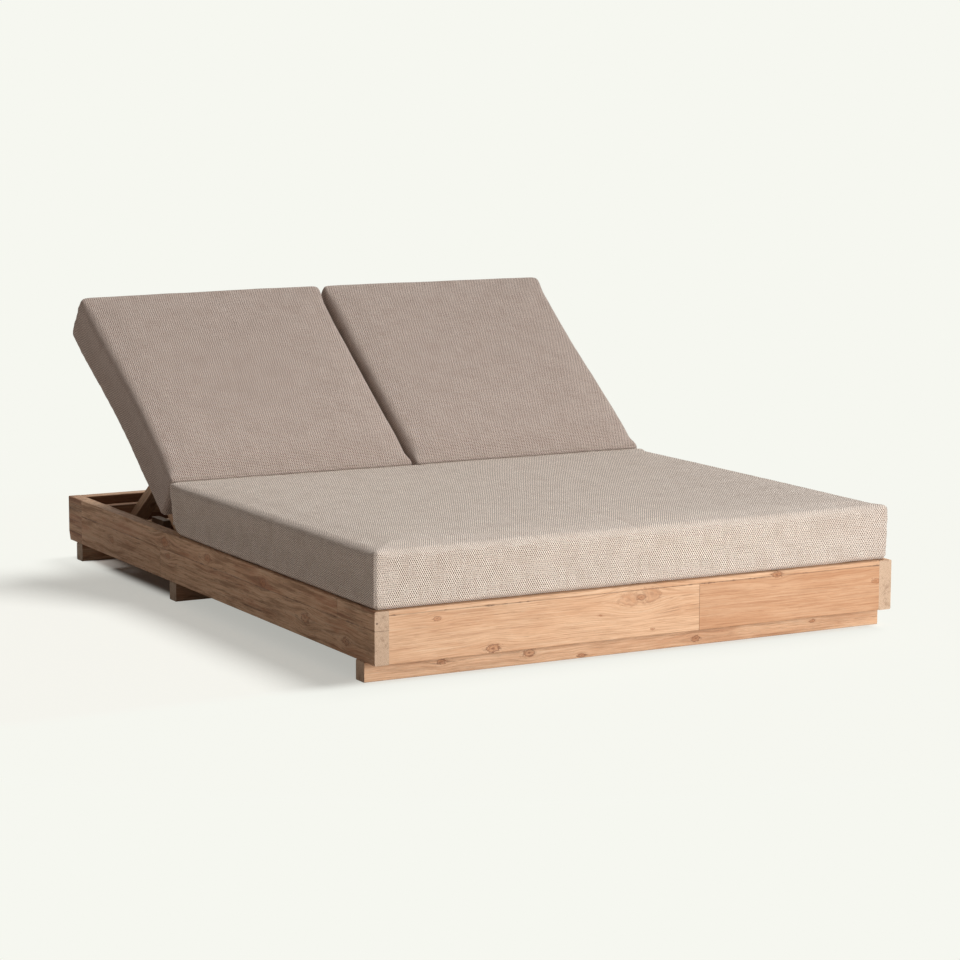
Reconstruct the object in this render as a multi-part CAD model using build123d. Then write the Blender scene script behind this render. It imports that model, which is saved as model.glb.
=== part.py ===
from build123d import *
import os
from math import asin, cos, degrees, radians, sin, sqrt

# Double chaise lounger: a low pine frame on three cross feet, one seat cushion across the whole
# width, and two backrests that tilt on their own, each on a folding prop with a foot bar.
# Millimetres. X runs across, the foot end faces minus Y, Z is up from the floor, and the origin is
# the middle of the footprint. The rest pose is the one in which both backrests are raised.

# Overall sizes
overall_width = 1500.0
overall_length = 2000.0
back_bay_length = 760.0
foot_height = 50.0
rail_height = 130.0
rail_thickness = 38.0
board_thickness = 27.0
edge_round = 3.0
board_ease = 1.5
rest_tilt = 36.0
steepest_tilt = 45.0

# Feet under the frame
foot_thickness = 45.0
front_foot_setback = 55.0
rear_foot_setback = 60.0

# Corner blocks at the head end
corner_block_length = 103.0
corner_chamfer_depth = 10.0
corner_chamfer_height = 27.0

# Seat deck
ledger_width = 30.0
ledger_height = 30.0
seat_slat_count = 8
seat_slat_gap = 22.0

# Backrest frames
side_gap = 4.0
centre_gap = 8.0
head_gap = 7.0
stile_width = 45.0
foot_rail_width = 80.0
head_rail_width = 45.0
back_slat_count = 4
back_slat_gap = 25.0
lowered_clearance = 0.5

# Hinges
hinge_setback = 25.0
swing_gap = 1.8
hinge_pin_radius = 6.0
hinge_running_gap = 0.08
hinge_pin_seat = 28.0
bracket_thickness = 6.0
bracket_plate_thickness = 4.0
bracket_plate_length = 60.0
bracket_ear_radius = 12.0

# Props
prop_pivot_share = 0.36
prop_pivot_drop = 7.0
folded_bar_end_gap = 14.0
arm_thickness = 25.0
arm_width = 45.0
arm_side_gap = 2.0
prop_pin_radius = 4.0
prop_pin_seat = 30.0
foot_bar_radius = 10.0
folded_bar_gap = 0.8
folded_bar_bay_gap = 9.0

# Racks under the foot bars
rack_thickness = 24.0
rack_ledger_gap = 13.4
rack_arm_gap = 6.0
rack_stop_length = 85.0
rack_stop_gap = 3.5
notch_radius = 25.0
notch_depth = 1.6
notch_gap = 0.5
notch_pitch = 42.0
rear_notch_count = 3

# Cushions
cushion_thickness = 140.0
cushion_crown = 8.0
cushion_edge = 20.0
cushion_side_margin = 5.0
cushion_front_margin = 15.0
cushion_end_margin = 6.0
cushion_seam_gap = 3.0
cushion_centre_gap = 12.0
cushion_clearance = 0.8
seam_setback = 12.0

# Places that follow from the sizes above
cut_overrun = 1.0
half_width = overall_width / 2
front_face = -overall_length / 2
rear_face = overall_length / 2
rail_bottom = foot_height
rail_top = foot_height + rail_height
ledge_top = rail_top - board_thickness
inner_side = half_width - rail_thickness
front_inner = front_face + rail_thickness
rear_inner = rear_face - rail_thickness
deck_end = rear_face - back_bay_length
deck_start = deck_end - rail_thickness
deck_length = deck_start - front_inner
seat_slat_pitch = (deck_length - seat_slat_gap) / seat_slat_count
seat_slat_width = seat_slat_pitch - seat_slat_gap
beam_half = rail_thickness / 2

back_thickness = board_thickness - lowered_clearance
half_back = back_thickness / 2
hinge_y = deck_end + hinge_setback
hinge_z = rail_top - half_back
back_outer = inner_side - side_gap
back_inner = centre_gap / 2
plate_top = hinge_z - hinge_setback
plate_bottom = plate_top - bracket_plate_thickness
back_start = -sqrt((hinge_setback - swing_gap) ** 2 - half_back ** 2)
back_end = rear_inner - head_gap - hinge_y
bay_start = back_start + foot_rail_width
bay_end = back_end - head_rail_width

arm_half = arm_thickness / 2
arm_bay = arm_width + 2 * arm_side_gap
arm_outer = back_outer - stile_width - arm_side_gap
arm_inner = back_inner + stile_width + arm_side_gap
slats_outer = back_outer - stile_width - arm_bay
slats_inner = back_inner + stile_width + arm_bay
slats_span = slats_outer - slats_inner
back_slat_pitch = (slats_span + back_slat_gap) / back_slat_count
back_slat_width = back_slat_pitch - back_slat_gap

rack_crest_z = ledge_top - ledger_height - rack_ledger_gap
rack_seat_z = rack_crest_z - notch_depth
below_bar = foot_bar_radius + notch_gap
pivot_along = bay_start + prop_pivot_share * (bay_end - bay_start)
pivot_up = -prop_pivot_drop
prop_reach = bay_end - folded_bar_end_gap - foot_bar_radius - pivot_along
rest_turn = radians(rest_tilt)
pivot_rest_y = hinge_y + pivot_along * cos(rest_turn) - pivot_up * sin(rest_turn)
pivot_rest_z = hinge_z + pivot_along * sin(rest_turn) + pivot_up * cos(rest_turn)
prop_tilt = degrees(asin((pivot_rest_z - rack_seat_z - below_bar) / prop_reach))

seam_y = deck_end - seam_setback
pad_end_lowered = rear_face - cushion_end_margin
pad_start_lowered = seam_y + cushion_seam_gap
pad_length = pad_end_lowered - pad_start_lowered
sewn_edge_up = half_back + cushion_clearance + cushion_thickness
pad_start = (seam_y - hinge_y + sewn_edge_up * sin(rest_turn)) / cos(rest_turn)
pad_slide_per_radian = (pad_start - pad_start_lowered + hinge_y) / rest_turn
pad_outer = half_width - cushion_side_margin
pad_inner = cushion_centre_gap / 2


def bar_place(tilt):
    """Where a foot bar lies, as Y and Z, when its backrest has this tilt. The prop's slope grows
    with the tilt, from none when it lies folded in the frame."""
    turn = radians(tilt)
    slope = radians(prop_tilt * tilt / rest_tilt)
    pivot_y = hinge_y + pivot_along * cos(turn) - pivot_up * sin(turn)
    pivot_z = hinge_z + pivot_along * sin(turn) + pivot_up * cos(turn)
    return pivot_y + prop_reach * cos(slope), pivot_z - prop_reach * sin(slope)


def block(x0, x1, y0, y1, z0, z1):
    """A plain box between two corners."""
    size = Box(abs(x1 - x0), abs(y1 - y0), abs(z1 - z0))
    return Pos((x0 + x1) / 2, (y0 + y1) / 2, (z0 + z1) / 2) * size


def board(x0, x1, y0, y1, z0, z1):
    """An inner board with its edges eased by the plane."""
    solid = block(x0, x1, y0, y1, z0, z1)
    return chamfer(solid.edges(), board_ease)


def long_board(x0, x1, y0, y1, z0, z1, axis):
    """A board that shows, with only its long edges softened, so that its ends butt tightly."""
    solid = block(x0, x1, y0, y1, z0, z1)
    return fillet(solid.edges().filter_by(axis), edge_round)


def rod(radius, x0, x1, y, z):
    """A round bar across the object, along X."""
    return Pos((x0 + x1) / 2, y, z) * Rot(0, 90, 0) * Cylinder(radius, abs(x1 - x0))


def other_side(shape):
    """The same piece on the other side of the middle."""
    return mirror(shape, Plane.YZ)


def tilted(shape):
    """Moves a backrest piece, drawn lying on the hinge axis, to its raised place."""
    return Location((0, hinge_y, hinge_z), (rest_tilt, 0, 0)) * shape


def propped(shape):
    """Moves a prop piece, drawn along plus Y from its pivot, to its place in the rest pose."""
    return Location((0, pivot_rest_y, pivot_rest_z), (-prop_tilt, 0, 0)) * shape


def side_rail():
    """The left rail runs through to the foot end, where its end grain shows."""
    rail = long_board(-half_width, -inner_side, front_face, rear_face - corner_block_length,
                      rail_bottom, rail_top, Axis.Y)
    seat = rod(hinge_pin_radius, -inner_side - hinge_pin_seat, -inner_side + cut_overrun, hinge_y, hinge_z)
    return rail - seat


def corner_block():
    """The block that ends the left rail, with its lower back edge sawn off at a slant."""
    solid = long_board(-half_width, -inner_side, rear_face - corner_block_length, rear_face,
                       rail_bottom, rail_top, Axis.Y)
    waste = Polyline(
        (rear_face - corner_chamfer_depth, rail_bottom),
        (rear_face, rail_bottom + corner_chamfer_height),
        (rear_face + cut_overrun, rail_bottom + corner_chamfer_height),
        (rear_face + cut_overrun, rail_bottom - cut_overrun),
        (rear_face - corner_chamfer_depth, rail_bottom - cut_overrun),
        close=True,
    )
    wedge = extrude(Plane.YZ * make_face(waste), rail_thickness + 2 * cut_overrun)
    return solid - Pos(-half_width - cut_overrun, 0, 0) * wedge


def cross_rail(y0, y1):
    """A rail between the two side rails."""
    return long_board(-inner_side, inner_side, y0, y1, rail_bottom, rail_top, Axis.X)


def foot_beam(y0):
    """A foot beam across the whole width, flush with the sides."""
    return long_board(-half_width, half_width, y0, y0 + foot_thickness, 0, foot_height, Axis.X)


def back_beam():
    """The beam between the two backrests. Its top is cut down beside the hinge, for the bracket's plate
    and for the stiles' ends, which swing below the frame's underside."""
    beam = board(-beam_half, beam_half, deck_end, rear_inner, rail_bottom, ledge_top)
    rebate = block(-beam_half - cut_overrun, beam_half + cut_overrun,
                   deck_end - cut_overrun, deck_end + bracket_plate_length,
                   plate_bottom, ledge_top + cut_overrun)
    return beam - rebate


def seat_slat(index):
    """One slat of the seat deck. The slats share what the gaps leave."""
    y0 = front_inner + seat_slat_gap + index * seat_slat_pitch
    return board(-inner_side, inner_side, y0, y0 + seat_slat_width, ledge_top, rail_top)


def hinge_bracket():
    """Steel bracket in the gap between the backrests: a let-in plate with a round ear for the pin."""
    plate = block(-beam_half, beam_half, deck_end, deck_end + bracket_plate_length, plate_bottom, plate_top)
    stem = block(-bracket_thickness / 2, bracket_thickness / 2,
                 hinge_y - bracket_ear_radius, hinge_y + bracket_ear_radius, plate_top, hinge_z)
    ear = rod(bracket_ear_radius, -bracket_thickness / 2, bracket_thickness / 2, hinge_y, hinge_z)
    bore = rod(hinge_pin_radius, -beam_half, beam_half, hinge_y, hinge_z)
    return plate + stem + ear - bore


def hinge_pins():
    """Three plain pins on one axis: one in each side rail, and one through the middle bracket."""
    outer = rod(hinge_pin_radius, -inner_side - hinge_pin_seat, -back_outer + hinge_pin_seat, hinge_y, hinge_z)
    middle = rod(hinge_pin_radius, -back_inner - hinge_pin_seat, back_inner + hinge_pin_seat, hinge_y, hinge_z)
    return Compound(children=[outer, middle, other_side(outer)])


def rack(x0, x1):
    """A board that the foot bar stands on. Shallow notches mark the places for the lower positions.
    In front its top follows the bar's way down to the steepest place, where a stop ends it."""
    seat_y, _ = bar_place(rest_tilt)
    middle_y, middle_z = bar_place((rest_tilt + steepest_tilt) / 2)
    low_y, low_z = bar_place(steepest_tilt)
    stop_y = low_y - below_bar
    stop_front = stop_y - rack_stop_length
    stop_z = hinge_z - half_back - rack_stop_gap
    around = Polyline(
        (seat_y, rack_seat_z),
        (seat_y, rack_crest_z),
        (rear_inner, rack_crest_z),
        (rear_inner, rail_bottom),
        (deck_end, rail_bottom),
        (deck_end, low_z - below_bar),
        (stop_front, low_z - below_bar),
        (stop_front, stop_z),
        (stop_y, stop_z),
        (stop_y, low_z - below_bar),
        (low_y, low_z - below_bar),
    )
    way = ThreePointArc((low_y, low_z - below_bar), (middle_y, middle_z - below_bar), (seat_y, rack_seat_z))
    plate = Pos(x0, 0, 0) * extrude(Plane.YZ * make_face(Curve() + [around, way]), x1 - x0)
    for step in range(rear_notch_count + 1):
        notch = rod(notch_radius, x0 - cut_overrun, x1 + cut_overrun,
                    seat_y + step * notch_pitch, rack_seat_z + notch_radius)
        plate -= notch
    return plate


def stile(x0, x1, open_side):
    """A long side member of a backrest, with its hinge bore and prop pin bore. open_side is plus one
    where the hinge pin comes from the left, and minus one where it comes from the right."""
    solid = board(x0, x1, back_start, back_end, -half_back, half_back)
    hinge_face = x0 if open_side > 0 else x1
    prop_face = x1 if open_side > 0 else x0
    deep = hinge_face + open_side * (hinge_pin_seat + cut_overrun)
    bore = rod(hinge_pin_radius + hinge_running_gap, hinge_face - open_side * cut_overrun, deep, 0, 0)
    inner = prop_face - open_side * prop_pin_seat
    socket = rod(prop_pin_radius, prop_face + open_side * cut_overrun, inner, pivot_along, pivot_up)
    return solid - bore - socket


def back_cross(start, width):
    """A cross member of the left backrest, between its stiles."""
    return board(-back_outer + stile_width, -back_inner - stile_width, start, start + width,
                 -half_back, half_back)


def back_slat(index):
    """One lengthwise slat of the left backrest, between the bays that the prop's arms fold into. Its
    head end is cut away below, where the foot bar lies when the backrest is down."""
    x0 = -slats_outer + index * back_slat_pitch
    slat = board(x0, x0 + back_slat_width, bay_start, bay_end, -half_back, half_back)
    relief_start = pivot_along + prop_reach - foot_bar_radius - folded_bar_bay_gap
    relief = block(x0 - cut_overrun, x0 + back_slat_width + cut_overrun, relief_start, bay_end + cut_overrun,
                   -half_back - cut_overrun, pivot_up + foot_bar_radius + folded_bar_gap)
    return slat - relief


def arm(x0, x1):
    """A prop arm, drawn from its pivot along plus Y, with both ends rounded."""
    body = block(x0, x1, 0, prop_reach, -arm_half, arm_half)
    ends = rod(arm_half, x0, x1, 0, 0) + rod(arm_half, x0, x1, prop_reach, 0)
    bores = rod(prop_pin_radius + hinge_running_gap, x0 - cut_overrun, x1 + cut_overrun, 0, 0)
    bores += rod(foot_bar_radius, x0 - cut_overrun, x1 + cut_overrun, prop_reach, 0)
    return body + ends - bores


def prop_pins():
    """The two pins of the left prop, each seated in a stile and running through an arm."""
    outer = rod(prop_pin_radius, -back_outer + stile_width - prop_pin_seat, -arm_outer + arm_width,
                pivot_along, pivot_up)
    inner = rod(prop_pin_radius, -arm_inner - arm_width, -back_inner - stile_width + prop_pin_seat,
                pivot_along, pivot_up)
    return Compound(children=[tilted(outer), tilted(inner)])


def foot_bar():
    """The round bar through the ends of both arms, flush with them, which stands on the racks."""
    return rod(foot_bar_radius, -arm_outer, -arm_inner, prop_reach, 0)


def cushion(width, length):
    """A foam cushion with its corner at the origin: flat below, crowned across above, and with
    rounded edges all round."""
    sides = Polyline((0, cushion_thickness), (0, 0), (width, 0), (width, cushion_thickness))
    crown = ThreePointArc((width, cushion_thickness), (width / 2, cushion_thickness + cushion_crown),
                          (0, cushion_thickness))
    solid = extrude(Plane.XZ * make_face(Curve() + [sides, crown]), -length)
    return fillet(solid.edges(), cushion_edge)


def seat_pad():
    """One cushion across the whole seat deck."""
    start = front_face + cushion_front_margin
    return Pos(-pad_outer, start, rail_top) * cushion(2 * pad_outer, seam_y - start)


def back_pad():
    """The left back cushion, on its frame, joined to the seat cushion at its lower front edge."""
    pad = Pos(-pad_outer, pad_start, half_back + cushion_clearance) * cushion(pad_outer - pad_inner, pad_length)
    return tilted(pad)


def base_nodes():
    """Every piece of the frame that stands on the floor."""
    middle_foot = deck_end - foot_thickness
    nodes = {
        "left_side_rail": side_rail(),
        "right_side_rail": other_side(side_rail()),
        "front_rail": cross_rail(front_face, front_inner),
        "rear_rail": cross_rail(rear_inner, rear_face),
        "hinge_rail": cross_rail(deck_start, deck_end),
        "rear_corner_blocks": Compound(children=[corner_block(), other_side(corner_block())]),
        "front_foot_beam": foot_beam(front_face + front_foot_setback),
        "middle_foot_beam": foot_beam(middle_foot),
        "rear_foot_beam": foot_beam(rear_face - rear_foot_setback - foot_thickness),
        "seat_centre_beam": board(-beam_half, beam_half, front_inner, deck_start, rail_bottom, ledge_top),
        "back_centre_beam": back_beam(),
        "hinge_bracket": hinge_bracket(),
        "hinge_pins": hinge_pins(),
    }
    ledger = board(-inner_side, -inner_side + ledger_width, front_inner, deck_start,
                   ledge_top - ledger_height, ledge_top)
    rear_ledger = board(-inner_side, -beam_half, rear_inner - ledger_width, rear_inner,
                        ledge_top - ledger_height, ledge_top)
    outer_rack_side = -arm_outer + arm_width + rack_arm_gap
    inner_rack_side = -arm_inner - arm_width - rack_arm_gap
    outer_rack = rack(outer_rack_side, outer_rack_side + rack_thickness)
    inner_rack = rack(inner_rack_side - rack_thickness, inner_rack_side)
    for name, piece in (("seat_ledger", ledger), ("rear_ledger", rear_ledger),
                        ("outer_rack", outer_rack), ("inner_rack", inner_rack)):
        nodes["left_" + name] = piece
        nodes["right_" + name] = other_side(piece)
    for index in range(seat_slat_count):
        nodes[f"seat_slat_{index + 1}"] = seat_slat(index)
    nodes["seat_pad"] = seat_pad()
    return nodes


def left_back_nodes():
    """Every piece of the left backrest, its prop and its cushion, under names without a side."""
    nodes = {
        "back_outer_stile": tilted(stile(-back_outer, -back_outer + stile_width, 1)),
        "back_inner_stile": tilted(stile(-back_inner - stile_width, -back_inner, -1)),
        "back_foot_rail": tilted(back_cross(back_start, foot_rail_width)),
        "back_head_rail": tilted(back_cross(back_end - head_rail_width, head_rail_width)),
        "prop_pins": prop_pins(),
        "prop_outer_arm": propped(arm(-arm_outer, -arm_outer + arm_width)),
        "prop_inner_arm": propped(arm(-arm_inner - arm_width, -arm_inner)),
        "prop_foot_bar": propped(foot_bar()),
        "back_pad": back_pad(),
    }
    for index in range(back_slat_count):
        nodes[f"back_slat_{index + 1}"] = tilted(back_slat(index))
    return nodes


def main():
    """Writes every piece as its own file."""
    nodes = base_nodes()
    for name, piece in left_back_nodes().items():
        nodes["left_" + name] = piece
        nodes["right_" + name] = other_side(piece)
    os.makedirs("parts", exist_ok=True)
    for name, piece in nodes.items():
        export_step(piece, f"parts/{name}.step")
    print(len(nodes), "pieces; hinge at", hinge_y, hinge_z)
    print("prop pivot at", pivot_rest_y, pivot_rest_z, "foot bar at", bar_place(rest_tilt))
    print("prop slope", prop_tilt, "cushion slide per radian", pad_slide_per_radian)


main()
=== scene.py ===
# %% [markdown]
# # A double chaise lounger: pine boards and woven cushions
# The CAD model already has every board, pin and cushion in its place. This lesson dresses it: the
# boards keep their shape and get a wood made of nodes, and the cushions, which are too soft for CAD,
# are made again as cloth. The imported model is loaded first, because every later piece is placed on it.

# %% Load the frame
from math import cos, exp, hypot, pi, radians, sin

import bmesh
import bpy
import numpy as np
from mathutils import Matrix, Vector, noise
from mathutils.bvhtree import BVHTree


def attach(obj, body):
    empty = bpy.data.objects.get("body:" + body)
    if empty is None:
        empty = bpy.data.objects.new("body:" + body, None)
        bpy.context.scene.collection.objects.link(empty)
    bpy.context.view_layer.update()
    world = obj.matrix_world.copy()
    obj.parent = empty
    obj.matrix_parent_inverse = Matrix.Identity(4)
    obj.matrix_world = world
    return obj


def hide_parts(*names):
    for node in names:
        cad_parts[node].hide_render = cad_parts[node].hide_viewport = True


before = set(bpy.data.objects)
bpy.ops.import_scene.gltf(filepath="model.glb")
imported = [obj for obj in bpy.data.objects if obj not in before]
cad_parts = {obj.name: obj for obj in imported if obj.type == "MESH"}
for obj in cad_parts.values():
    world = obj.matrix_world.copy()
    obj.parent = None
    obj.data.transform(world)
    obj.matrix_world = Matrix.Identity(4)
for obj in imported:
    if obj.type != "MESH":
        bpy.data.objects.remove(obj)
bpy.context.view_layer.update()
scene = bpy.context.scene

# %% [markdown]
# ## Camera
# A product photograph of furniture is taken from well back with a long lens, so that the far side
# hardly shrinks. The camera's place comes from fitting the frame's corners to the photograph. Its
# matrix is built from three directions, right, up and backwards, which is clearer than three angles
# in the right order.

# %% Camera
camera_place = (-3.7426, -6.9431, 1.4982)
camera_angles = [radians(angle) for angle in (28.848, 8.581, 0.169)]


def camera_matrix(place, heading, pitch, roll):
    """Heading turns from +Y towards +X, pitch looks down, roll turns the picture."""
    look = Vector((sin(heading) * cos(pitch), cos(heading) * cos(pitch), -sin(pitch)))
    level = Vector((cos(heading), -sin(heading), 0))
    upright = level.cross(look)
    right = cos(roll) * level + sin(roll) * upright
    up = cos(roll) * upright - sin(roll) * level
    matrix = Matrix((right, up, -look)).transposed().to_4x4()
    matrix.translation = place
    return matrix


camera = bpy.data.objects.new("camera", bpy.data.cameras.new("camera"))
scene.collection.objects.link(camera)
camera.data.lens = 108.29
camera.data.clip_end = 200
camera.matrix_world = camera_matrix(camera_place, *camera_angles)
scene.camera = camera
scene.view_settings.view_transform = "Standard"
print("camera", round(camera.location.length, 2), "m from the middle of the footprint")

# %% [markdown]
# ## Node helpers
# Shader trees are easier to read as sums than as wires. One helper adds any node, and the small ones
# after it stand for arithmetic, a soft step and colours laid over one another. Each returns a socket,
# so that they nest like a formula.

# %% Node helpers
def add_node(tree, kind, values=None, **settings):
    """Adds a node. A value is a number, a colour or another node's output."""
    node = tree.nodes.new(kind)
    for name, value in settings.items():
        setattr(node, name, value)
    for name, value in (values or {}).items():
        if isinstance(value, bpy.types.NodeSocket):
            tree.links.new(value, node.inputs[name])
        else:
            node.inputs[name].default_value = value
    return node


def calc(tree, operation, *values):
    return add_node(tree, "ShaderNodeMath", dict(enumerate(values)), operation=operation).outputs[0]


def times(tree, first, second):
    return calc(tree, "MULTIPLY", first, second)


def scaled(tree, value, factor, offset):
    return calc(tree, "MULTIPLY_ADD", value, factor, offset)


def total(tree, *values):
    result = values[0]
    for value in values[1:]:
        result = calc(tree, "ADD", result, value)
    return result


def largest(tree, *values):
    result = values[0]
    for value in values[1:]:
        result = calc(tree, "MAXIMUM", result, value)
    return result


def gap_between(tree, first, second):
    return calc(tree, "ABSOLUTE", calc(tree, "SUBTRACT", first, second))


def soft_step(tree, value, low, high):
    """Nought below low and one above high, or the other way round where low is the larger."""
    flip = low > high
    ends = {"Value": value, "From Min": min(low, high), "From Max": max(low, high),
            "To Min": 1.0 if flip else 0.0, "To Max": 0.0 if flip else 1.0}
    return add_node(tree, "ShaderNodeMapRange", ends, interpolation_type="SMOOTHSTEP").outputs[0]


def mix_colour(tree, share, first, second, way="MIX"):
    values = {0: share, 6: first, 7: second}
    return add_node(tree, "ShaderNodeMix", values, data_type="RGBA", blend_type=way).outputs[2]


def layered(tree, colour, *layers):
    """Lays tints over a colour in turn. Each layer is (share, strength, tint)."""
    for share, strength, tint in layers:
        colour = mix_colour(tree, times(tree, share, strength), colour, tint)
    return colour


def axes_of(tree, vector):
    return list(add_node(tree, "ShaderNodeSeparateXYZ", {0: vector}).outputs)


def from_axes(tree, *values):
    return add_node(tree, "ShaderNodeCombineXYZ", dict(enumerate(values))).outputs[0]


def vector_math(tree, operation, *values):
    """Vector arithmetic. Only the length and the distance come out as a number."""
    node = add_node(tree, "ShaderNodeVectorMath", dict(enumerate(values)), operation=operation)
    return node.outputs["Value" if operation in ("LENGTH", "DISTANCE") else "Vector"]


def stretch(tree, place, factors, shift=(0, 0, 0)):
    """The place times three factors, which draws a pattern out along an axis."""
    return vector_math(tree, "MULTIPLY_ADD", place, factors, shift)


def speckle(tree, place, detail=2.0, rough=0.5, scale=1.0):
    values = {"Vector": place, "Scale": scale, "Detail": detail, "Roughness": rough}
    return add_node(tree, "ShaderNodeTexNoise", values).outputs["Fac"]


def new_group(name, inputs, outputs):
    """An empty node group with its sockets. Returns the tree and the outputs of its input node."""
    tree = bpy.data.node_groups.new(name, "ShaderNodeTree")
    for way, sockets in (("INPUT", inputs), ("OUTPUT", outputs)):
        for label, kind in sockets:
            tree.interface.new_socket(label, in_out=way, socket_type="NodeSocket" + kind)
    return tree, tree.nodes.new("NodeGroupInput").outputs[:len(inputs)]


def use_group(tree, group, values):
    return add_node(tree, "ShaderNodeGroup", values, node_tree=group)


def new_material(name):
    """A material with its shader and output already joined."""
    material = bpy.data.materials.new(name)
    material.use_nodes = True
    tree = material.node_tree
    tree.nodes.clear()
    shader = tree.nodes.new("ShaderNodeBsdfPrincipled")
    add_node(tree, "ShaderNodeOutputMaterial", {"Surface": shader.outputs[0]})
    return material, tree, shader


def finish_shader(tree, shader, colour, rough, height, strength, distance):
    """Joins a material's colour, roughness and bump to its shader."""
    bump = {"Height": height, "Strength": strength, "Distance": distance}
    tree.links.new(colour, shader.inputs["Base Color"])
    tree.links.new(rough, shader.inputs["Roughness"])
    tree.links.new(add_node(tree, "ShaderNodeBump", bump).outputs[0], shader.inputs["Normal"])


def srgb(red, green, blue):
    """A colour as a picture editor shows it, 0 to 255, in the linear values that Blender mixes."""
    values = [v / 255 for v in (red, green, blue)]
    return tuple(v / 12.92 if v <= 0.04045 else ((v + 0.055) / 1.055) ** 2.4 for v in values) + (1.0,)


print("helpers ready; paper white is", [round(v, 3) for v in srgb(246, 247, 240)])

# %% [markdown]
# ## Studio
# The photograph stands on seamless paper: floor and background are one colour and only a soft shadow
# shows, to the left. The floor is a real surface that takes the shadow, and further out it fades into
# the paper's own colour, so that no horizon shows. Near the object the paper's colour is mixed in too,
# which lightens the shadow as painted light, most in front, on the right and at the rear. The floor
# under the rear bay is painted dark as shade, as it is in the photograph, where little light gets down
# between the boards. The world gives a low, even fill, and shows the paper's colour to the camera, to
# gloss and through glass.

# %% Floor and world
paper = srgb(246, 247, 240)
paper_in_view, paper_for_bounces, painted_shade_in_bay = (1.22, 1.235, 1.19, 1), (0.64, 0.59, 0.55, 1), (0.30, 0.26, 0.23, 1)
fill_colour, fill_light = (1.0, 0.89, 0.83, 1), 0.16
floor_reach = 60.0


def seen_directly(tree):
    """One for rays from the camera, from gloss and through glass, else nought."""
    path = tree.nodes.new("ShaderNodeLightPath")
    return largest(tree, *[path.outputs[ray] for ray in ("Is Camera Ray", "Is Glossy Ray", "Is Transmission Ray")])


def make_floor():
    mesh = bpy.data.meshes.new("floor")
    corners = [(x * floor_reach, y * floor_reach, 0) for x, y in ((-1, -1), (1, -1), (1, 1), (-1, 1))]
    mesh.from_pydata(corners, [], [(0, 1, 2, 3)])
    floor = bpy.data.objects.new("floor", mesh)
    scene.collection.objects.link(floor)
    material = bpy.data.materials.new("seamless paper")
    material.use_nodes = True
    tree = material.node_tree
    tree.nodes.clear()
    seen = seen_directly(tree)
    place = tree.nodes.new("ShaderNodeTexCoord").outputs["Object"]
    x, y, _ = axes_of(tree, place)
    # painted light: near the object the paper's colour lifts the floor's shadow, most in front, on the right and at
    # the rear
    front, right = soft_step(tree, y, -0.90, -1.0), soft_step(tree, x, 0.7, 0.8)
    rear = times(tree, soft_step(tree, y, 0.55, 1.0), 0.85)
    painted_light_near_object = scaled(tree, largest(tree, front, right, rear), 0.48, 0.45)
    far_off = soft_step(tree, vector_math(tree, "LENGTH", place), 1.5, 2.3)
    even = largest(tree, far_off, painted_light_near_object)
    # painted shade: the floor under the rear bay is darkened in colour
    bay_length = times(tree, soft_step(tree, y, 0.20, 0.30), soft_step(tree, y, 1.0, 0.94))
    bay = times(tree, soft_step(tree, calc(tree, "ABSOLUTE", x), 0.76, 0.70), bay_length)
    colour = mix_colour(tree, seen, paper_for_bounces, paper_in_view)
    colour = layered(tree, colour, (bay, 0.7, painted_shade_in_bay))
    lit = add_node(tree, "ShaderNodeBsdfDiffuse", {"Color": colour})
    plain = add_node(tree, "ShaderNodeEmission", {"Color": paper})
    share = times(tree, times(tree, even, seen), calc(tree, "SUBTRACT", 1.0, bay))
    both = add_node(tree, "ShaderNodeMixShader", {0: share, 1: lit.outputs[0], 2: plain.outputs[0]})
    add_node(tree, "ShaderNodeOutputMaterial", {"Surface": both.outputs[0]})
    mesh.materials.append(material)
    return floor


def make_world():
    world = bpy.data.worlds.new("studio")
    world.use_nodes = True
    tree = world.node_tree
    tree.nodes.clear()
    fill = add_node(tree, "ShaderNodeBackground", {"Color": fill_colour, "Strength": fill_light})
    backdrop = add_node(tree, "ShaderNodeBackground", {"Color": paper, "Strength": 1.0})
    both = add_node(tree, "ShaderNodeMixShader", {0: seen_directly(tree), 1: fill.outputs[0], 2: backdrop.outputs[0]})
    add_node(tree, "ShaderNodeOutputWorld", {"Surface": both.outputs[0]})
    return world


floor = make_floor()
scene.world = make_world()
print("floor", floor.dimensions.x, "m wide, fill", fill_light)

# %% [markdown]
# ## Lamps
# Two lamps are enough. A broad overhead one, a little to the right, gives the seat its level light
# and the soft shadow on the left. A large soft box stands low at the front right: it lights the front
# boards most and fades towards the head end, because it is near. The soft box is kept off the floor
# by light linking, as a photographer flags a lamp, so that the paper stays even.

# %% Lamps
def new_lamp(name, kind, energy, colour, place, target, **settings):
    lamp = bpy.data.objects.new(name, bpy.data.lights.new(name, kind))
    lamp.data.energy = energy
    lamp.data.color = colour
    for setting, value in settings.items():
        setattr(lamp.data, setting, value)
    lamp.location = place
    lamp.rotation_euler = (Vector(target) - Vector(place)).to_track_quat("-Z", "Y").to_euler()
    scene.collection.objects.link(lamp)
    return lamp


overhead = new_lamp("overhead", "SUN", 2.15, (1.0, 0.985, 0.965), (2.2, 0.8, 4.0), (0, 0, 0), angle=radians(24))
soft_box = new_lamp("soft_box", "AREA", 115, (1.0, 1.0, 0.99), (0.8, -4.2, 0.75), (0.0, -0.6, 0.2),
                    shape="RECTANGLE", size=2.4, size_y=1.2)
soft_box.visible_camera = False
flag = bpy.data.collections.new("kept_off_by_flag")
flag.objects.link(floor)
soft_box.light_linking.receiver_collection = flag
flag.collection_objects[0].light_linking.link_state = "EXCLUDE"
print("overhead", round(overhead.data.energy, 2), "soft box", soft_box.data.energy, "W")

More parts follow.
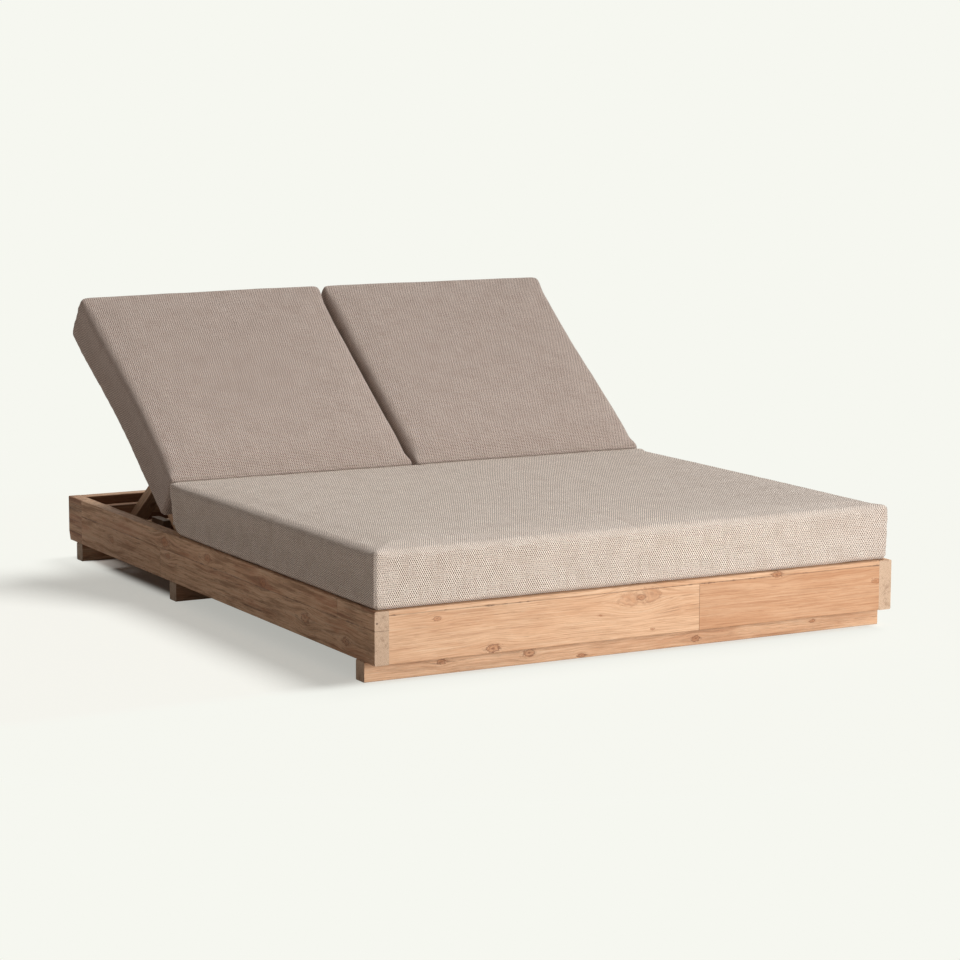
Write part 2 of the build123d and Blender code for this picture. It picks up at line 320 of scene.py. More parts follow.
# %% [markdown]
# ## Pine: how the grain is made
# A board is a slice out of a log, so its grain isn't a stripe pattern but the log's rings, cut. The
# group below keeps that idea: it measures how far a point is from the log's heart, which wanders a
# little along the length, and turns that distance into pale early wood and dark late wood. Long faces
# then get arched grain and end faces get arcs of rings, from the same few nodes. Fibres, dashes and
# blotches are noise drawn out along the board. They are laid over the rings one by one, and the more
# worn a board is, the more its scuffs and grime show.

# %% Pine grain
ring_width = 0.0041
pale_pine, ring_pine, knot_pine = srgb(236, 198, 163), srgb(205, 155, 115), srgb(112, 66, 44)


def make_grain_group():
    inputs = [("Place", "Vector")] + [(label, "Float") for label in ("Stave", "Knot", "Rim", "End", "Wear")]
    outputs = [("Color", "Color"), ("Rough", "Float"), ("Height", "Float")]
    tree, (place, stave, knot, rim, end, wear) = new_group("pine grain", inputs, outputs)
    worn = calc(tree, "POWER", wear, 2.0)

    # A stave's number moves it to another part of the log.
    jump = from_axes(tree, *[times(tree, stave, step) for step in (3.71, 0.137, 0.091)])
    place = vector_math(tree, "ADD", place, jump)

    def drawn(factors, detail=2.0, rough=0.5, shift=0.0):
        """Noise drawn out along the board: the smaller a factor, the longer it is that way."""
        return speckle(tree, stretch(tree, place, factors, (shift, 0.0, 0.0)), detail, rough)

    # The distance from the log's heart gives the rings, dark at their outer side.
    _, across, through = axes_of(tree, place)
    drift = scaled(tree, drawn((0.9, 2.0, 2.0), 1.0), 0.10, -0.05)
    across = total(tree, calc(tree, "PINGPONG", calc(tree, "ADD", across, 0.021), 0.19), drift)
    through = calc(tree, "ADD", calc(tree, "PINGPONG", through, 0.23), 0.09)
    squares = [calc(tree, "POWER", value, 2.0) for value in (across, through)]
    wobble, widths = drawn((7.0, 55.0, 55.0)), drawn((0.4, 30.0, 30.0), 1.0)
    heart = calc(tree, "SQRT", total(tree, *squares))
    heart = total(tree, heart, times(tree, wobble, 0.003), times(tree, widths, 0.010))
    ring = calc(tree, "FRACT", calc(tree, "DIVIDE", heart, ring_width))
    late = times(tree, calc(tree, "POWER", ring, 2.2), soft_step(tree, ring, 1.0, 0.9))

    fibre = drawn((11.0, 560.0, 560.0), 3.0, 0.6)
    streak = drawn((2.6, 120.0, 120.0), 4.0, 0.6)
    patch = drawn((3.1, 14.0, 14.0), 4.0, 0.6)
    cloud = drawn((5.0, 62.0, 62.0), 6.0, 0.7, 3.3)
    dash = drawn((24.0, 330.0, 330.0), 3.0, 0.65, 7.7)
    scuff = drawn((30.0, 210.0, 210.0), 5.0, 0.75, 1.3)
    pore = drawn((60.0, 900.0, 900.0))
    grime = times(tree, soft_step(tree, cloud, 0.45, 0.64), wear)
    reddish = times(tree, soft_step(tree, patch, 0.5, 0.62), soft_step(tree, streak, 0.35, 0.6))

    # Splits are short, torn and only in patches.
    torn = soft_step(tree, drawn((38.0, 300.0, 60.0)), 0.35, 0.6)
    split = soft_step(tree, drawn((3.6, 230.0, 60.0), 1.0, shift=5.1), 0.70, 0.73)
    split = times(tree, split, times(tree, torn, soft_step(tree, patch, 0.42, 0.54)))
    split = times(tree, split, scaled(tree, wear, 0.7, 0.3))

    end_grain = layered(
        tree, srgb(228, 203, 178),
        (soft_step(tree, pore, 0.4, 0.7), 0.6, srgb(158, 128, 102)),
        (late, 0.4, srgb(176, 142, 114)),
        (soft_step(tree, cloud, 0.5, 0.68), 0.5, srgb(140, 110, 88)))
    colour = layered(
        tree, pale_pine,
        (late, 0.62, ring_pine),
        (soft_step(tree, streak, 0.53, 0.78), scaled(tree, wear, 0.45, 0.5), srgb(176, 130, 98)),
        (soft_step(tree, streak, 0.46, 0.28), 0.5, srgb(244, 216, 184)),
        (soft_step(tree, patch, 0.44, 0.72), 0.35, srgb(204, 150, 108)),
        (soft_step(tree, fibre, 0.42, 0.75), 0.6, srgb(164, 116, 82)),
        (soft_step(tree, dash, 0.58, 0.74), scaled(tree, wear, 0.5, 0.3), srgb(136, 88, 58)),
        (soft_step(tree, dash, 0.42, 0.28), 0.4, srgb(250, 226, 196)),
        (soft_step(tree, scuff, 0.56, 0.72), times(tree, worn, 0.7), srgb(232, 194, 156)),
        (soft_step(tree, scuff, 0.44, 0.30), times(tree, worn, 0.8), srgb(84, 58, 42)),
        (times(tree, reddish, wear), 0.6, srgb(164, 98, 64)),
        (grime, 0.65, srgb(116, 84, 62)),
        (times(tree, soft_step(tree, cloud, 0.44, 0.3), wear), 0.45, srgb(208, 180, 150)),
        (knot, scaled(tree, streak, 0.9, 0.2), srgb(186, 128, 88)),
        (rim, 1.0, knot_pine),
        (split, 0.85, srgb(82, 52, 36)),
        (end, 0.9, end_grain))

    rough = total(tree, 0.55, times(tree, fibre, 0.2), times(tree, late, -0.08), times(tree, grime, 0.12))
    relief = [(late, 0.3), (fibre, 0.5), (streak, scaled(tree, wear, 1.6, 0.5)), (cloud, times(tree, wear, 1.2)),
              (scuff, times(tree, worn, 2.2)), (split, -2.5), (rim, -1.0)]
    height = total(tree, *[times(tree, value, depth) for value, depth in relief])
    add_node(tree, "NodeGroupOutput", {"Color": colour, "Rough": rough, "Height": height})
    return tree


grain_group = make_grain_group()
print("pine grain:", len(grain_group.nodes), "nodes")

# %% [markdown]
# ## Knots
# A knot is the foot of a branch, and the grain flows round it. So a knot is more than a dark spot: the
# group also pushes the coordinates away from its middle, before the rings are worked out, and the
# rings part round it. Each call of the group passes the pushed place on to the next one.

# %% Knots
knot_stretch = 1.9


def make_knot_group():
    inputs = [("Place", "Vector"), ("Middle", "Vector"), ("Radius", "Float"), ("Depth", "Float")]
    outputs = [("Place", "Vector"), ("Knot", "Float"), ("Rim", "Float")]
    tree, (place, middle, radius, depth) = new_group("pine knot", inputs, outputs)
    along, across, _ = axes_of(tree, vector_math(tree, "SUBTRACT", place, middle))
    squares = [calc(tree, "POWER", value, 2.0) for value in (calc(tree, "DIVIDE", along, knot_stretch), across)]
    share = calc(tree, "DIVIDE", calc(tree, "SQRT", total(tree, *squares)), radius)

    # The grain is pushed aside, less and less with the distance.
    pull = calc(tree, "EXPONENT", times(tree, calc(tree, "POWER", share, 2.0), -0.13))
    push = from_axes(tree, 0.0, times(tree, times(tree, across, pull), -0.82))
    moved = vector_math(tree, "ADD", place, push)

    # Noise makes the outline ragged. The rim is its bark, with curls of grain inside and a dark heart.
    ragged = scaled(tree, speckle(tree, stretch(tree, place, (65.0, 120.0, 20.0)), 5.0, 0.75), 2.4, -0.25)
    torn = times(tree, share, ragged)
    core = times(tree, soft_step(tree, torn, 1.25, 0.7), calc(tree, "MINIMUM", calc(tree, "ADD", depth, 0.25), 1.0))
    bark = times(tree, soft_step(tree, gap_between(tree, torn, 0.95), 0.2, 0.02), 0.85)
    swirl = times(tree, speckle(tree, stretch(tree, place, (34.0, 70.0, 20.0), (2.0, 0.0, 0.0))), 13.0)
    curls = calc(tree, "ABSOLUTE", calc(tree, "SINE", scaled(tree, share, 5.0, swirl)))
    curls = times(tree, calc(tree, "POWER", curls, 5.0), 0.5)
    curls = times(tree, curls, soft_step(tree, torn, 1.9, 0.7))
    heart = times(tree, soft_step(tree, torn, 0.36, 0.1), 0.8)
    rim = times(tree, largest(tree, bark, curls, heart), depth)
    add_node(tree, "NodeGroupOutput", {"Place": moved, "Knot": core, "Rim": rim})
    return tree


knot_group = make_knot_group()
print("pine knot:", len(knot_group.nodes), "nodes")

# %% [markdown]
# ## Boards
# The rails and feet are glued up from old staves, so one board shows two or three pieces of wood
# with hair lines between them. Each board's material says which way its grain runs, where its glue
# lines and butt joints are, and where its knots sit. A stave's own number shifts the log, so the
# grain never runs on across a joint.

# %% Board materials
grain_axes = {"X": "XZY", "Y": "YZX", "flat X": "XYZ", "flat Y": "YXZ"}


def board_place(tree, grain, tilt):
    """Object coordinates turned so that X runs along the board, Y across its face and Z through it."""
    coords = tree.nodes.new("ShaderNodeTexCoord")
    place, normal = coords.outputs["Object"], coords.outputs["Normal"]
    if tilt:
        centre, angle = tilt
        turned = {"Vector": place, "Location": centre, "Rotation": (angle, 0, 0)}
        place = add_node(tree, "ShaderNodeMapping", turned, vector_type="TEXTURE").outputs[0]
        turned = {"Vector": normal, "Rotation": (angle, 0, 0)}
        normal = add_node(tree, "ShaderNodeMapping", turned, vector_type="TEXTURE").outputs[0]
    order = ["XYZ".index(axis) for axis in grain_axes[grain]]
    axes = axes_of(tree, place)
    facing = axes_of(tree, normal)[order[0]]
    end = soft_step(tree, calc(tree, "ABSOLUTE", facing), 0.75, 0.9)
    return from_axes(tree, *[axes[i] for i in order]), end


def glued(tree, place, staves, joints, seed):
    """The number of the stave that a point is in, the dark gap between staves, and the browner share."""
    along, across, _ = axes_of(tree, place)
    stave, gap, deep = seed, 0.0, 0.0
    chips = speckle(tree, stretch(tree, place, (11.0, 9.0, 9.0)), 5.0, 0.75)
    wide = times(tree, soft_step(tree, chips, 0.5, 0.7), 0.0022)
    broken = scaled(tree, soft_step(tree, chips, 0.42, 0.64), 0.42, 0.5)
    for count, height in enumerate(staves):
        stave = scaled(tree, calc(tree, "GREATER_THAN", across, height), 2.3 + count, stave)
        near = calc(tree, "SUBTRACT", gap_between(tree, across, height), wide)
        gap = largest(tree, gap, times(tree, soft_step(tree, near, 0.0019, 0.0), broken))
    for count, (where, low, high, deeper) in enumerate(joints):
        inside = times(tree, calc(tree, "GREATER_THAN", across, low), calc(tree, "LESS_THAN", across, high))
        beyond = times(tree, calc(tree, "GREATER_THAN", along, where), inside)
        stave = scaled(tree, beyond, 5.7 + 1.9 * count, stave)
        deep = scaled(tree, beyond, deeper, deep)
        near = soft_step(tree, gap_between(tree, along, where), 0.0014, 0.0004)
        gap = largest(tree, gap, times(tree, near, times(tree, inside, 0.55)))
    return stave, gap, deep


def knotted(tree, place, knots):
    """The place as the knots push it, one after the other, and their wood and rims."""
    knot, rim = 0.0, 0.0
    through = axes_of(tree, place)[2]
    for where, height, radius, depth in knots:
        values = {"Place": place, "Middle": (where, height, 0), "Radius": radius, "Depth": depth}
        one = use_group(tree, knot_group, values)
        place = from_axes(tree, *axes_of(tree, one.outputs["Place"])[:2], through)
        knot = largest(tree, knot, one.outputs["Knot"])
        rim = largest(tree, rim, one.outputs["Rim"])
    return place, knot, rim


def pine(name, grain, tone, staves=(), joints=(), knots=(), holes=(), tilt=None, seed=0.0, wear=0.4, stain_and_painted_shade=None):
    """A material for one board. staves are the heights of glue lines, joints are (along, low, high,
    deeper), where deeper says how much browner the wood is beyond, and knots are (along, across,
    radius, depth), all in the board's own directions. holes are (middle, radius), wear is from 0 to 1.
    The last argument is (through, across, tone): below both, inside the frame, the wood is darkened as painted shade."""
    material, tree, shader = new_material(name)
    place, end = board_place(tree, grain, tilt)
    stave, gap, deep = glued(tree, place, staves, joints, seed)
    for middle, radius in holes:
        gap = largest(tree, gap, soft_step(tree, vector_math(tree, "DISTANCE", place, middle), radius, radius * 0.7))
    warped, knot, rim = knotted(tree, place, knots)
    values = {"Place": warped, "Stave": stave, "Knot": knot, "Rim": rim, "End": end, "Wear": wear}
    wood = use_group(tree, grain_group, values).outputs
    shade = calc(tree, "FRACT", times(tree, stave, 0.377)) if staves or joints else 0.5
    colour = layered(tree, wood["Color"], (shade, 0.2, srgb(172, 128, 94)), (deep, 1.0, srgb(176, 116, 72)),
                     (gap, 0.75, srgb(74, 46, 30)))
    colour = mix_colour(tree, 1.0, colour, (tone, tone * 0.985, tone * 0.97, 1), "MULTIPLY")
    # painted shade: the wood inside the frame is darkened
    if stain_and_painted_shade:
        depth, level, dark = stain_and_painted_shade
        _, across, through = axes_of(tree, place)
        open_air = largest(tree, soft_step(tree, through, depth - 0.004, depth),
                           soft_step(tree, across, level - 0.004, level))
        shaded = mix_colour(tree, open_air, (dark, dark * 0.86, dark * 0.8, 1), (1.0, 1.0, 1.0, 1))
        colour = mix_colour(tree, 1.0, colour, shaded, "MULTIPLY")
    finish_shader(tree, shader, colour, wood["Rough"], scaled(tree, gap, -2.5, wood["Height"]), 0.55, 0.0008)
    shader.inputs["Specular IOR Level"].default_value = 0.32
    return material


def dress(material, *names):
    """Gives CAD nodes a finish, in the slots that they already have."""
    for name in names:
        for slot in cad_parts[name].material_slots:
            slot.material = material
    return len(names)


front_knots = [(-0.432, 0.062, 0.009, 0.9), (-0.584, 0.150, 0.005, 0.6), (-0.013, 0.150, 0.0065, 0.7),
               (-0.050, 0.147, 0.013, 0.3), (0.018, 0.152, 0.012, 0.3), (0.391, 0.172, 0.007, 0.8),
               (0.702, 0.128, 0.006, 0.7), (0.02, 0.067, 0.003, 0.6), (-0.13, 0.118, 0.002, 0.5)]
left_knots = [(0.270, 0.152, 0.012, 0.8), (0.249, 0.128, 0.008, 0.8), (-0.02, 0.155, 0.010, 0.7),
              (-0.37, 0.148, 0.010, 0.8), (-0.62, 0.100, 0.011, 0.8), (-0.845, 0.082, 0.008, 0.9),
              (0.66, 0.10, 0.008, 0.6)]
right_knots = [(-0.52, 0.10, 0.010, 0.8), (0.12, 0.15, 0.008, 0.8), (0.55, 0.09, 0.012, 0.7)]
rear_knots = [(-0.5, 0.09, 0.011, 0.8), (0.1, 0.12, 0.008, 0.8), (0.58, 0.075, 0.009, 0.7)]
foot_knots = [(-0.544, 0.030, 0.006, 0.85), (-0.300, 0.028, 0.008, 0.8), (-0.150, 0.007, 0.005, 0.9),
              (0.185, 0.017, 0.006, 0.9), (0.542, 0.028, 0.004, 0.8)]
hidden_foot_knots = [(-0.4, 0.02, 0.007, 0.8), (0.33, 0.03, 0.008, 0.8)]
nail_hole = ((-1.0, 0.152, -0.744), 0.003)
dress(pine("front rail pine", "X", 0.96, [0.1685], [(0.158, 0.05, 0.1685, 0.34)], front_knots, seed=1.0, wear=0.15),
      "front_rail")
dress(pine("left rail pine", "Y", 0.85, [0.133], [(0.305, 0.05, 0.133, 0.12), (-0.80, 0.133, 0.18, 0.1)], left_knots,
           [nail_hole], seed=4.0, wear=1.0), "left_side_rail")
dress(pine("right rail pine", "Y", 0.9, joints=[(0.47, 0.05, 0.18, 0.15)], knots=right_knots, seed=9.0, wear=0.7),
      "right_side_rail")
# The rear rail's inner faces get painted shade.
dress(pine("rear rail pine", "X", 0.78, [0.142], [(-0.24, 0.05, 0.142, 0.1), (0.36, 0.142, 0.18, 0.1)], rear_knots,
           seed=13.0, wear=0.7, stain_and_painted_shade=(0.999, 0.179, 0.4)), "rear_rail")
dress(pine("corner block pine", "Y", 0.72, [0.147], seed=17.0, wear=1.0), "rear_corner_blocks")
dress(pine("front foot pine", "X", 0.99, knots=foot_knots, seed=21.0, wear=0.35), "front_foot_beam")
dress(pine("other feet pine", "X", 0.58, knots=hidden_foot_knots, seed=26.0, wear=0.9),
      "middle_foot_beam", "rear_foot_beam")
print("front rail has", len(front_knots), "knots, the front foot", len(foot_knots))

# %% [markdown]
# ## Inner boards
# Slats, ledgers, racks and props are plainer pine from the same yard. A few materials serve them all,
# because each piece lies in another part of the log. The backrests' boards are turned first by the
# angle at which they stand, so that their grain follows the board and not the floor. The low tones of
# the beams, ledgers, racks, backrest boards and props are painted shade: what lies deep inside the
# frame is darker because the photograph shows it nearly black.

# %% Inner boards
rest_tilt = radians(36)
hinge = Vector((0, 0.265, 0.16675))
back_turn = (hinge, rest_tilt)
prop_turn = (Vector((0, 0.488529, 0.320501)), radians(-35.27459))
names = list(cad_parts)
slat_knots = [(-0.5, -0.7, 0.009, 0.8), (-0.15, -0.42, 0.011, 0.8), (0.4, -0.1, 0.009, 0.8), (0.2, -0.85, 0.008, 0.7),
              (0.55, 0.1, 0.01, 0.7)]
beam_knots = [(-0.3, 0.1, 0.012, 0.8), (0.6, 0.09, 0.01, 0.8)]
cross_knots = [(-0.3, 0.1, 0.012, 0.8), (0.45, 0.12, 0.01, 0.8)]
back_knots = [(0.22, -0.5, 0.009, 0.8), (0.45, -0.27, 0.011, 0.8), (0.55, 0.31, 0.01, 0.8), (0.3, 0.55, 0.008, 0.7),
              (0.6, -0.66, 0.008, 0.8)]
back_rail_knots = [(-0.4, 0.02, 0.009, 0.7), (0.3, 0.03, 0.009, 0.7)]
dress(pine("seat slat pine", "flat X", 0.95, knots=slat_knots, seed=31.0),
      *[n for n in names if n.startswith("seat_slat")])
# painted shade: the beams, ledgers and racks are low in tone
dress(pine("beam pine", "Y", 0.4, knots=beam_knots, seed=35.0, wear=0.7),
      "seat_centre_beam", "back_centre_beam", "left_seat_ledger", "right_seat_ledger",
      *[n for n in names if n.endswith("_rack")])
dress(pine("cross beam pine", "X", 0.38, knots=cross_knots, seed=39.0, wear=0.7),
      "hinge_rail", "left_rear_ledger", "right_rear_ledger")
# painted shade: the backrests' boards and the props are lower in tone
dress(pine("back slat pine", "flat Y", 0.72, knots=back_knots, tilt=back_turn, seed=43.0, wear=0.6),
      *[n for n in names if "_back_slat_" in n or n.endswith("_stile")])
dress(pine("back rail pine", "flat X", 0.72, knots=back_rail_knots, tilt=back_turn, seed=47.0, wear=0.6),
      *[n for n in names if n.endswith(("back_foot_rail", "back_head_rail"))])
dress(pine("prop arm pine", "flat Y", 0.68, knots=[(0.2, -0.63, 0.006, 0.7)], tilt=prop_turn, seed=51.0, wear=0.6),
      *[n for n in names if n.endswith(("outer_arm", "inner_arm"))])
dress(pine("foot bar pine", "flat X", 0.7, tilt=prop_turn, seed=55.0, wear=0.3),
      *[n for n in names if n.endswith("foot_bar")])
in_pine = [n for n in names if "pine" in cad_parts[n].material_slots[0].material.name]
print("pine on", len(in_pine), "of", len(names), "nodes")

# %% [markdown]
# ## Steel
# Only pins, bracket, screws and zips are metal. Turned and folded steel shows fine parallel lines,
# which a noise drawn out across the part gives in both the roughness and the bump. The zips are of a
# duller, browner metal, so that they don't glint.

# %% Steel
def make_steel(name, light, dark, plain_rough):
    material, tree, shader = new_material(name)
    place = tree.nodes.new("ShaderNodeTexCoord").outputs["Object"]
    lines = speckle(tree, stretch(tree, place, (1800.0, 60.0, 60.0)))
    stain_and_painted_shade = speckle(tree, stretch(tree, place, (35.0, 35.0, 35.0)), 3.0)
    colour = mix_colour(tree, soft_step(tree, stain_and_painted_shade, 0.45, 0.75), light, dark)
    rough = total(tree, plain_rough, times(tree, lines, 0.16), times(tree, stain_and_painted_shade, 0.12))
    finish_shader(tree, shader, colour, rough, lines, 0.25, 0.0002)
    shader.inputs["Metallic"].default_value = 1.0
    return material


steel = make_steel("satin steel", srgb(176, 176, 174), srgb(140, 134, 126), 0.28)
dull_metal = make_steel("dull zip metal", srgb(122, 112, 102), srgb(92, 84, 76), 0.5)
print("steel on", dress(steel, "hinge_bracket", "hinge_pins", "left_prop_pins", "right_prop_pins"), "nodes")

# %% [markdown]
# ## Woven cloth
# The cover is a coarse outdoor weave: pale yarn with small dark dots in staggered rows, 5 to 6 mm
# apart. The dots are where the dark yarn dips under the pale one, so they are also lower. A product
# of two cosines has exactly such staggered peaks. It is read from a UV map in metres, so that the
# weave follows the cloth round edges, and noise along each yarn keeps it from looking printed.
# A second UV map holds the distance from the nearest seam, which draws the seam as a fine groove, sunk in the bump
# and darkened in colour as painted shade.

# %% Woven cloth
dot_across = 0.0056
dot_along = 0.0099
yarn_shake = 0.0032


def make_weave_group():
    outputs = [("Color", "Color"), ("Rough", "Float"), ("Height", "Float")]
    tree, (cloth, seam) = new_group("dotted weave", [("Cloth", "Vector"), ("Seam", "Vector")], outputs)
    shake = add_node(tree, "ShaderNodeTexNoise", {"Vector": cloth, "Scale": 90.0, "Detail": 2.0}).outputs["Color"]
    centred = vector_math(tree, "SUBTRACT", shake, (0.5, 0.5, 0.5))
    across, along, _ = axes_of(tree, vector_math(tree, "MULTIPLY_ADD", centred, (yarn_shake, yarn_shake, 0.0), cloth))
    columns = calc(tree, "COSINE", times(tree, across, 2 * pi / dot_across))
    rows = calc(tree, "COSINE", times(tree, along, 2 * pi / dot_along))
    warp = speckle(tree, stretch(tree, cloth, (330.0, 14.0, 1.0)))
    weft = speckle(tree, stretch(tree, cloth, (14.0, 330.0, 1.0)))
    yarn = times(tree, calc(tree, "ADD", warp, weft), 0.5)
    patch = speckle(tree, stretch(tree, cloth, (16.0, 16.0, 1.0)), 3.0)
    fluff = speckle(tree, stretch(tree, cloth, (1500.0, 1500.0, 1.0)))
    peak = calc(tree, "ADD", times(tree, columns, rows), scaled(tree, yarn, 1.3, -0.65))
    dot = soft_step(tree, peak, 0.1, 0.42)
    # the seam's groove: sunk in the bump, and darkened in colour as painted shade
    groove = soft_step(tree, axes_of(tree, seam)[0], 0.0026, 0.0008)
    pale = mix_colour(tree, soft_step(tree, yarn, 0.35, 0.65), srgb(214, 200, 189), srgb(255, 246, 236))
    dark = mix_colour(tree, soft_step(tree, fluff, 0.3, 0.7), srgb(56, 41, 35), srgb(98, 79, 69))
    colour = layered(tree, pale, (dot, 1.0, dark), (soft_step(tree, patch, 0.4, 0.7), 0.12, srgb(150, 128, 112)),
                     (groove, 0.4, srgb(98, 82, 72)))
    relief = [(dot, -1.0), (fluff, 0.3), (yarn, 0.5), (groove, -1.6)]
    height = total(tree, *[times(tree, value, depth) for value, depth in relief])
    rough = scaled(tree, fluff, 0.12, 0.82)
    add_node(tree, "NodeGroupOutput", {"Color": colour, "Rough": rough, "Height": height})
    return tree


weave_group = make_weave_group()


def make_cloth(name, tone):
    material, tree, shader = new_material(name)
    cloth = add_node(tree, "ShaderNodeUVMap", uv_map="cloth").outputs[0]
    seam = add_node(tree, "ShaderNodeUVMap", uv_map="seam").outputs[0]
    weave = use_group(tree, weave_group, {"Cloth": cloth, "Seam": seam}).outputs
    colour = mix_colour(tree, 1.0, weave["Color"], tone, "MULTIPLY")
    finish_shader(tree, shader, colour, weave["Rough"], weave["Height"], 0.85, 0.0011)
    for name, value in (("Specular IOR Level", 0.12), ("Sheen Weight", 0.25), ("Sheen Roughness", 0.6)):
        shader.inputs[name].default_value = value
    return material


seat_cloth = make_cloth("seat cloth", (1.0, 0.97, 0.94, 1))
# The back cushions wear a darker copy of the seat's cloth: painted shade, for the lesser light that they get.
back_cloth_painted_shade = make_cloth("back cloth", (0.78, 0.71, 0.685, 1))
print("dots every", dot_across * 1000, "by", dot_along * 500, "mm")

# %% [markdown]
# ## Cushions: the cut cover
# The cover's top turns down over all four sides in one piece, so the weave runs on round the long
# edges, and only the upright corners and the lower edge are sewn. The mesh follows that: a box grid
# with its edges rounded, close lines near the edges where the cloth bends, and wider ones in the
# field. Because the grid is built line by line, each face knows its panel, and the UV maps can be
# written straight from the cut sizes.

# %% Cushion grid
top_radius, upright_radius, lower_radius, sewn_radius = 0.028, 0.009, 0.015, 0.004
corner_reach = 0.055


def lines_along(length, seam=False, fine=0.006, coarse=0.012):
    """Grid lines, close together near both ends, and in the middle too if a seam runs there."""
    ends = [fine * step for step in range(6)]
    middle = length - 2 * ends[-1]
    count = max(1, round(middle / coarse))
    field = [ends[-1] + middle * step / count for step in range(1, count)]
    lines = ends + field + [length - end for end in reversed(ends)]
    if seam:
        lines = [line for line in lines if abs(line - length / 2) > 0.02]
        lines = sorted(lines + [length / 2 + step for step in (-0.016, -0.006, 0.0, 0.006, 0.016)])
    return lines


def boxed_grid(width, length, height, middle_seam):
    """Corner points of a box grid from (0, 0, 0), and its faces with the panel that each is in."""
    grid = [lines_along(width, middle_seam), lines_along(length), lines_along(height)]
    last = [len(lines) - 1 for lines in grid]
    index, points, faces, panels = {}, [], [], []

    def point(key):
        if key not in index:
            index[key] = len(points)
            points.append([grid[axis][key[axis]] for axis in range(3)])
        return index[key]

    for axis, end in ((0, 0), (0, 1), (1, 0), (1, 1), (2, 0), (2, 1)):
        first, second = [a for a in range(3) if a != axis]
        for i in range(last[first]):
            for j in range(last[second]):
                corners = []
                for di, dj in ((0, 0), (1, 0), (1, 1), (0, 1)):
                    key = [0, 0, 0]
                    key[axis], key[first], key[second] = end * last[axis], i + di, j + dj
                    corners.append(point(tuple(key)))
                outward = (end == 1) == (axis != 1)
                faces.append(corners if outward else corners[::-1])
                panels.append((axis, end))
    return np.array(points), faces, panels


def eased(distance, reach):
    """One at a line, falling softly to nought at the reach."""
    share = np.clip(1 - distance / reach, 0, 1)
    return share * share * (3 - 2 * share)


def rounded(points, size, joint):
    """Moves the grid's points so that the box gets round edges. The radius is wide along the top and
    is drawn in near the upright corners, the lower edges and the edge that is sewn to its neighbour."""
    half = np.array(size) / 2
    x, y, z = points.T
    side, end = np.minimum(x, size[0] - x), np.minimum(y, size[1] - y)
    sewn_end, free_end = (size[1] - y, y) if joint == "end" else (y, size[1] - y)
    free_radius, free_reach = (0.009, 0.085) if joint == "start" else (0.030, corner_reach)
    sewn_lower_radius = 0.034 if joint == "end" else lower_radius
    radius = np.full(len(points), top_radius)
    for distance, goal, reach in (
            (free_end, free_radius, free_reach),
            (np.hypot(side, end), upright_radius, corner_reach),
            (z, lower_radius, corner_reach),
            (np.hypot(sewn_end, z), sewn_lower_radius, corner_reach),
            (np.hypot(sewn_end, size[2] - z), sewn_radius, corner_reach)):
        radius += eased(distance, reach) * (goal - radius)
    radius = radius[:, None]
    inner = np.clip(points - half, radius - half, half - radius)
    out = points - half - inner
    return inner + half + out / np.linalg.norm(out, axis=1, keepdims=True) * radius


def fitted(points, cut, size, joint):
    """Leans the middle seam a little, as it was sewn, thins a back cushion where it meets the seat and
    lets its filling stand a little higher at the head."""
    if joint == "end":
        lean = -0.012 + 0.023 * cut[:, 1] / size[1]
        points[:, 0] += lean * eased(np.abs(cut[:, 0] - size[0] / 2), 0.3)
    else:
        points[:, 2] *= 1 - 0.0535 * eased(cut[:, 1], 0.12) + 0.03 * eased(size[1] - cut[:, 1], 0.3)
    return points


def cut_place(point, panel, size):
    """Where a point lies on the cut cloth, in metres, for a face of this panel."""
    x, y, z = point
    width, length, height = size
    if panel[0] == 0:
        return (width + height - z, y) if panel[1] else (z - height, y)
    if panel == (1, 0):
        return (x, z - height)
    if panel == (1, 1):
        return (x, length + height - z)
    return (x, y) if panel[1] else (x, -height - y)


def seam_gap(point, size, middle_seam, joint):
    """Distance from the nearest seam. joint names the sewn edge, at the start or end of the length."""
    x, y, z = point
    width, length, height = size
    side, end = min(x, width - x), min(y, length - y)
    gap = min(hypot(side, end), hypot(z, min(side, end)), hypot(length - y if joint == "end" else y, height - z))
    if middle_seam and z > 0:
        gap = min(gap, abs(x - width / 2) + 0.0009)
    return gap


def cushion_cover(name, size, middle_seam, joint):
    """The cover as a mesh, with its two UV maps and its place on the cut box kept as an attribute."""
    box_points, faces, panels = boxed_grid(*size, middle_seam)
    mesh = bpy.data.meshes.new(name)
    mesh.from_pydata(fitted(rounded(box_points, size, joint), box_points, size, joint).tolist(), [], faces)
    kept = mesh.attributes.new("cut", "FLOAT_VECTOR", "POINT")
    kept.data.foreach_set("vector", box_points.ravel())
    cloth, seam = mesh.uv_layers.new(name="cloth"), mesh.uv_layers.new(name="seam")
    gaps = [seam_gap(point, size, middle_seam, joint) for point in box_points.tolist()]
    for polygon, panel in zip(mesh.polygons, panels):
        for corner, vertex in zip(polygon.loop_indices, polygon.vertices):
            cloth.data[corner].uv = cut_place(box_points[vertex], panel, size)
            seam.data[corner].uv = (gaps[vertex], 0.0)
    mesh.polygons.foreach_set("use_smooth", [True] * len(faces))
    cover = bpy.data.objects.new(name, mesh)
    scene.collection.objects.link(cover)
    return cover


def node_box(name, tilt=0.0, centre=(0, 0, 0)):
    """A CAD node's lowest and highest corners, measured in a frame that is turned about X."""
    turn = np.array(Matrix.Rotation(-tilt, 3, "X"))
    points = (np.array([v.co[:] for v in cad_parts[name].data.vertices]) - np.array(centre)) @ turn.T
    return points.min(0), points.max(0)


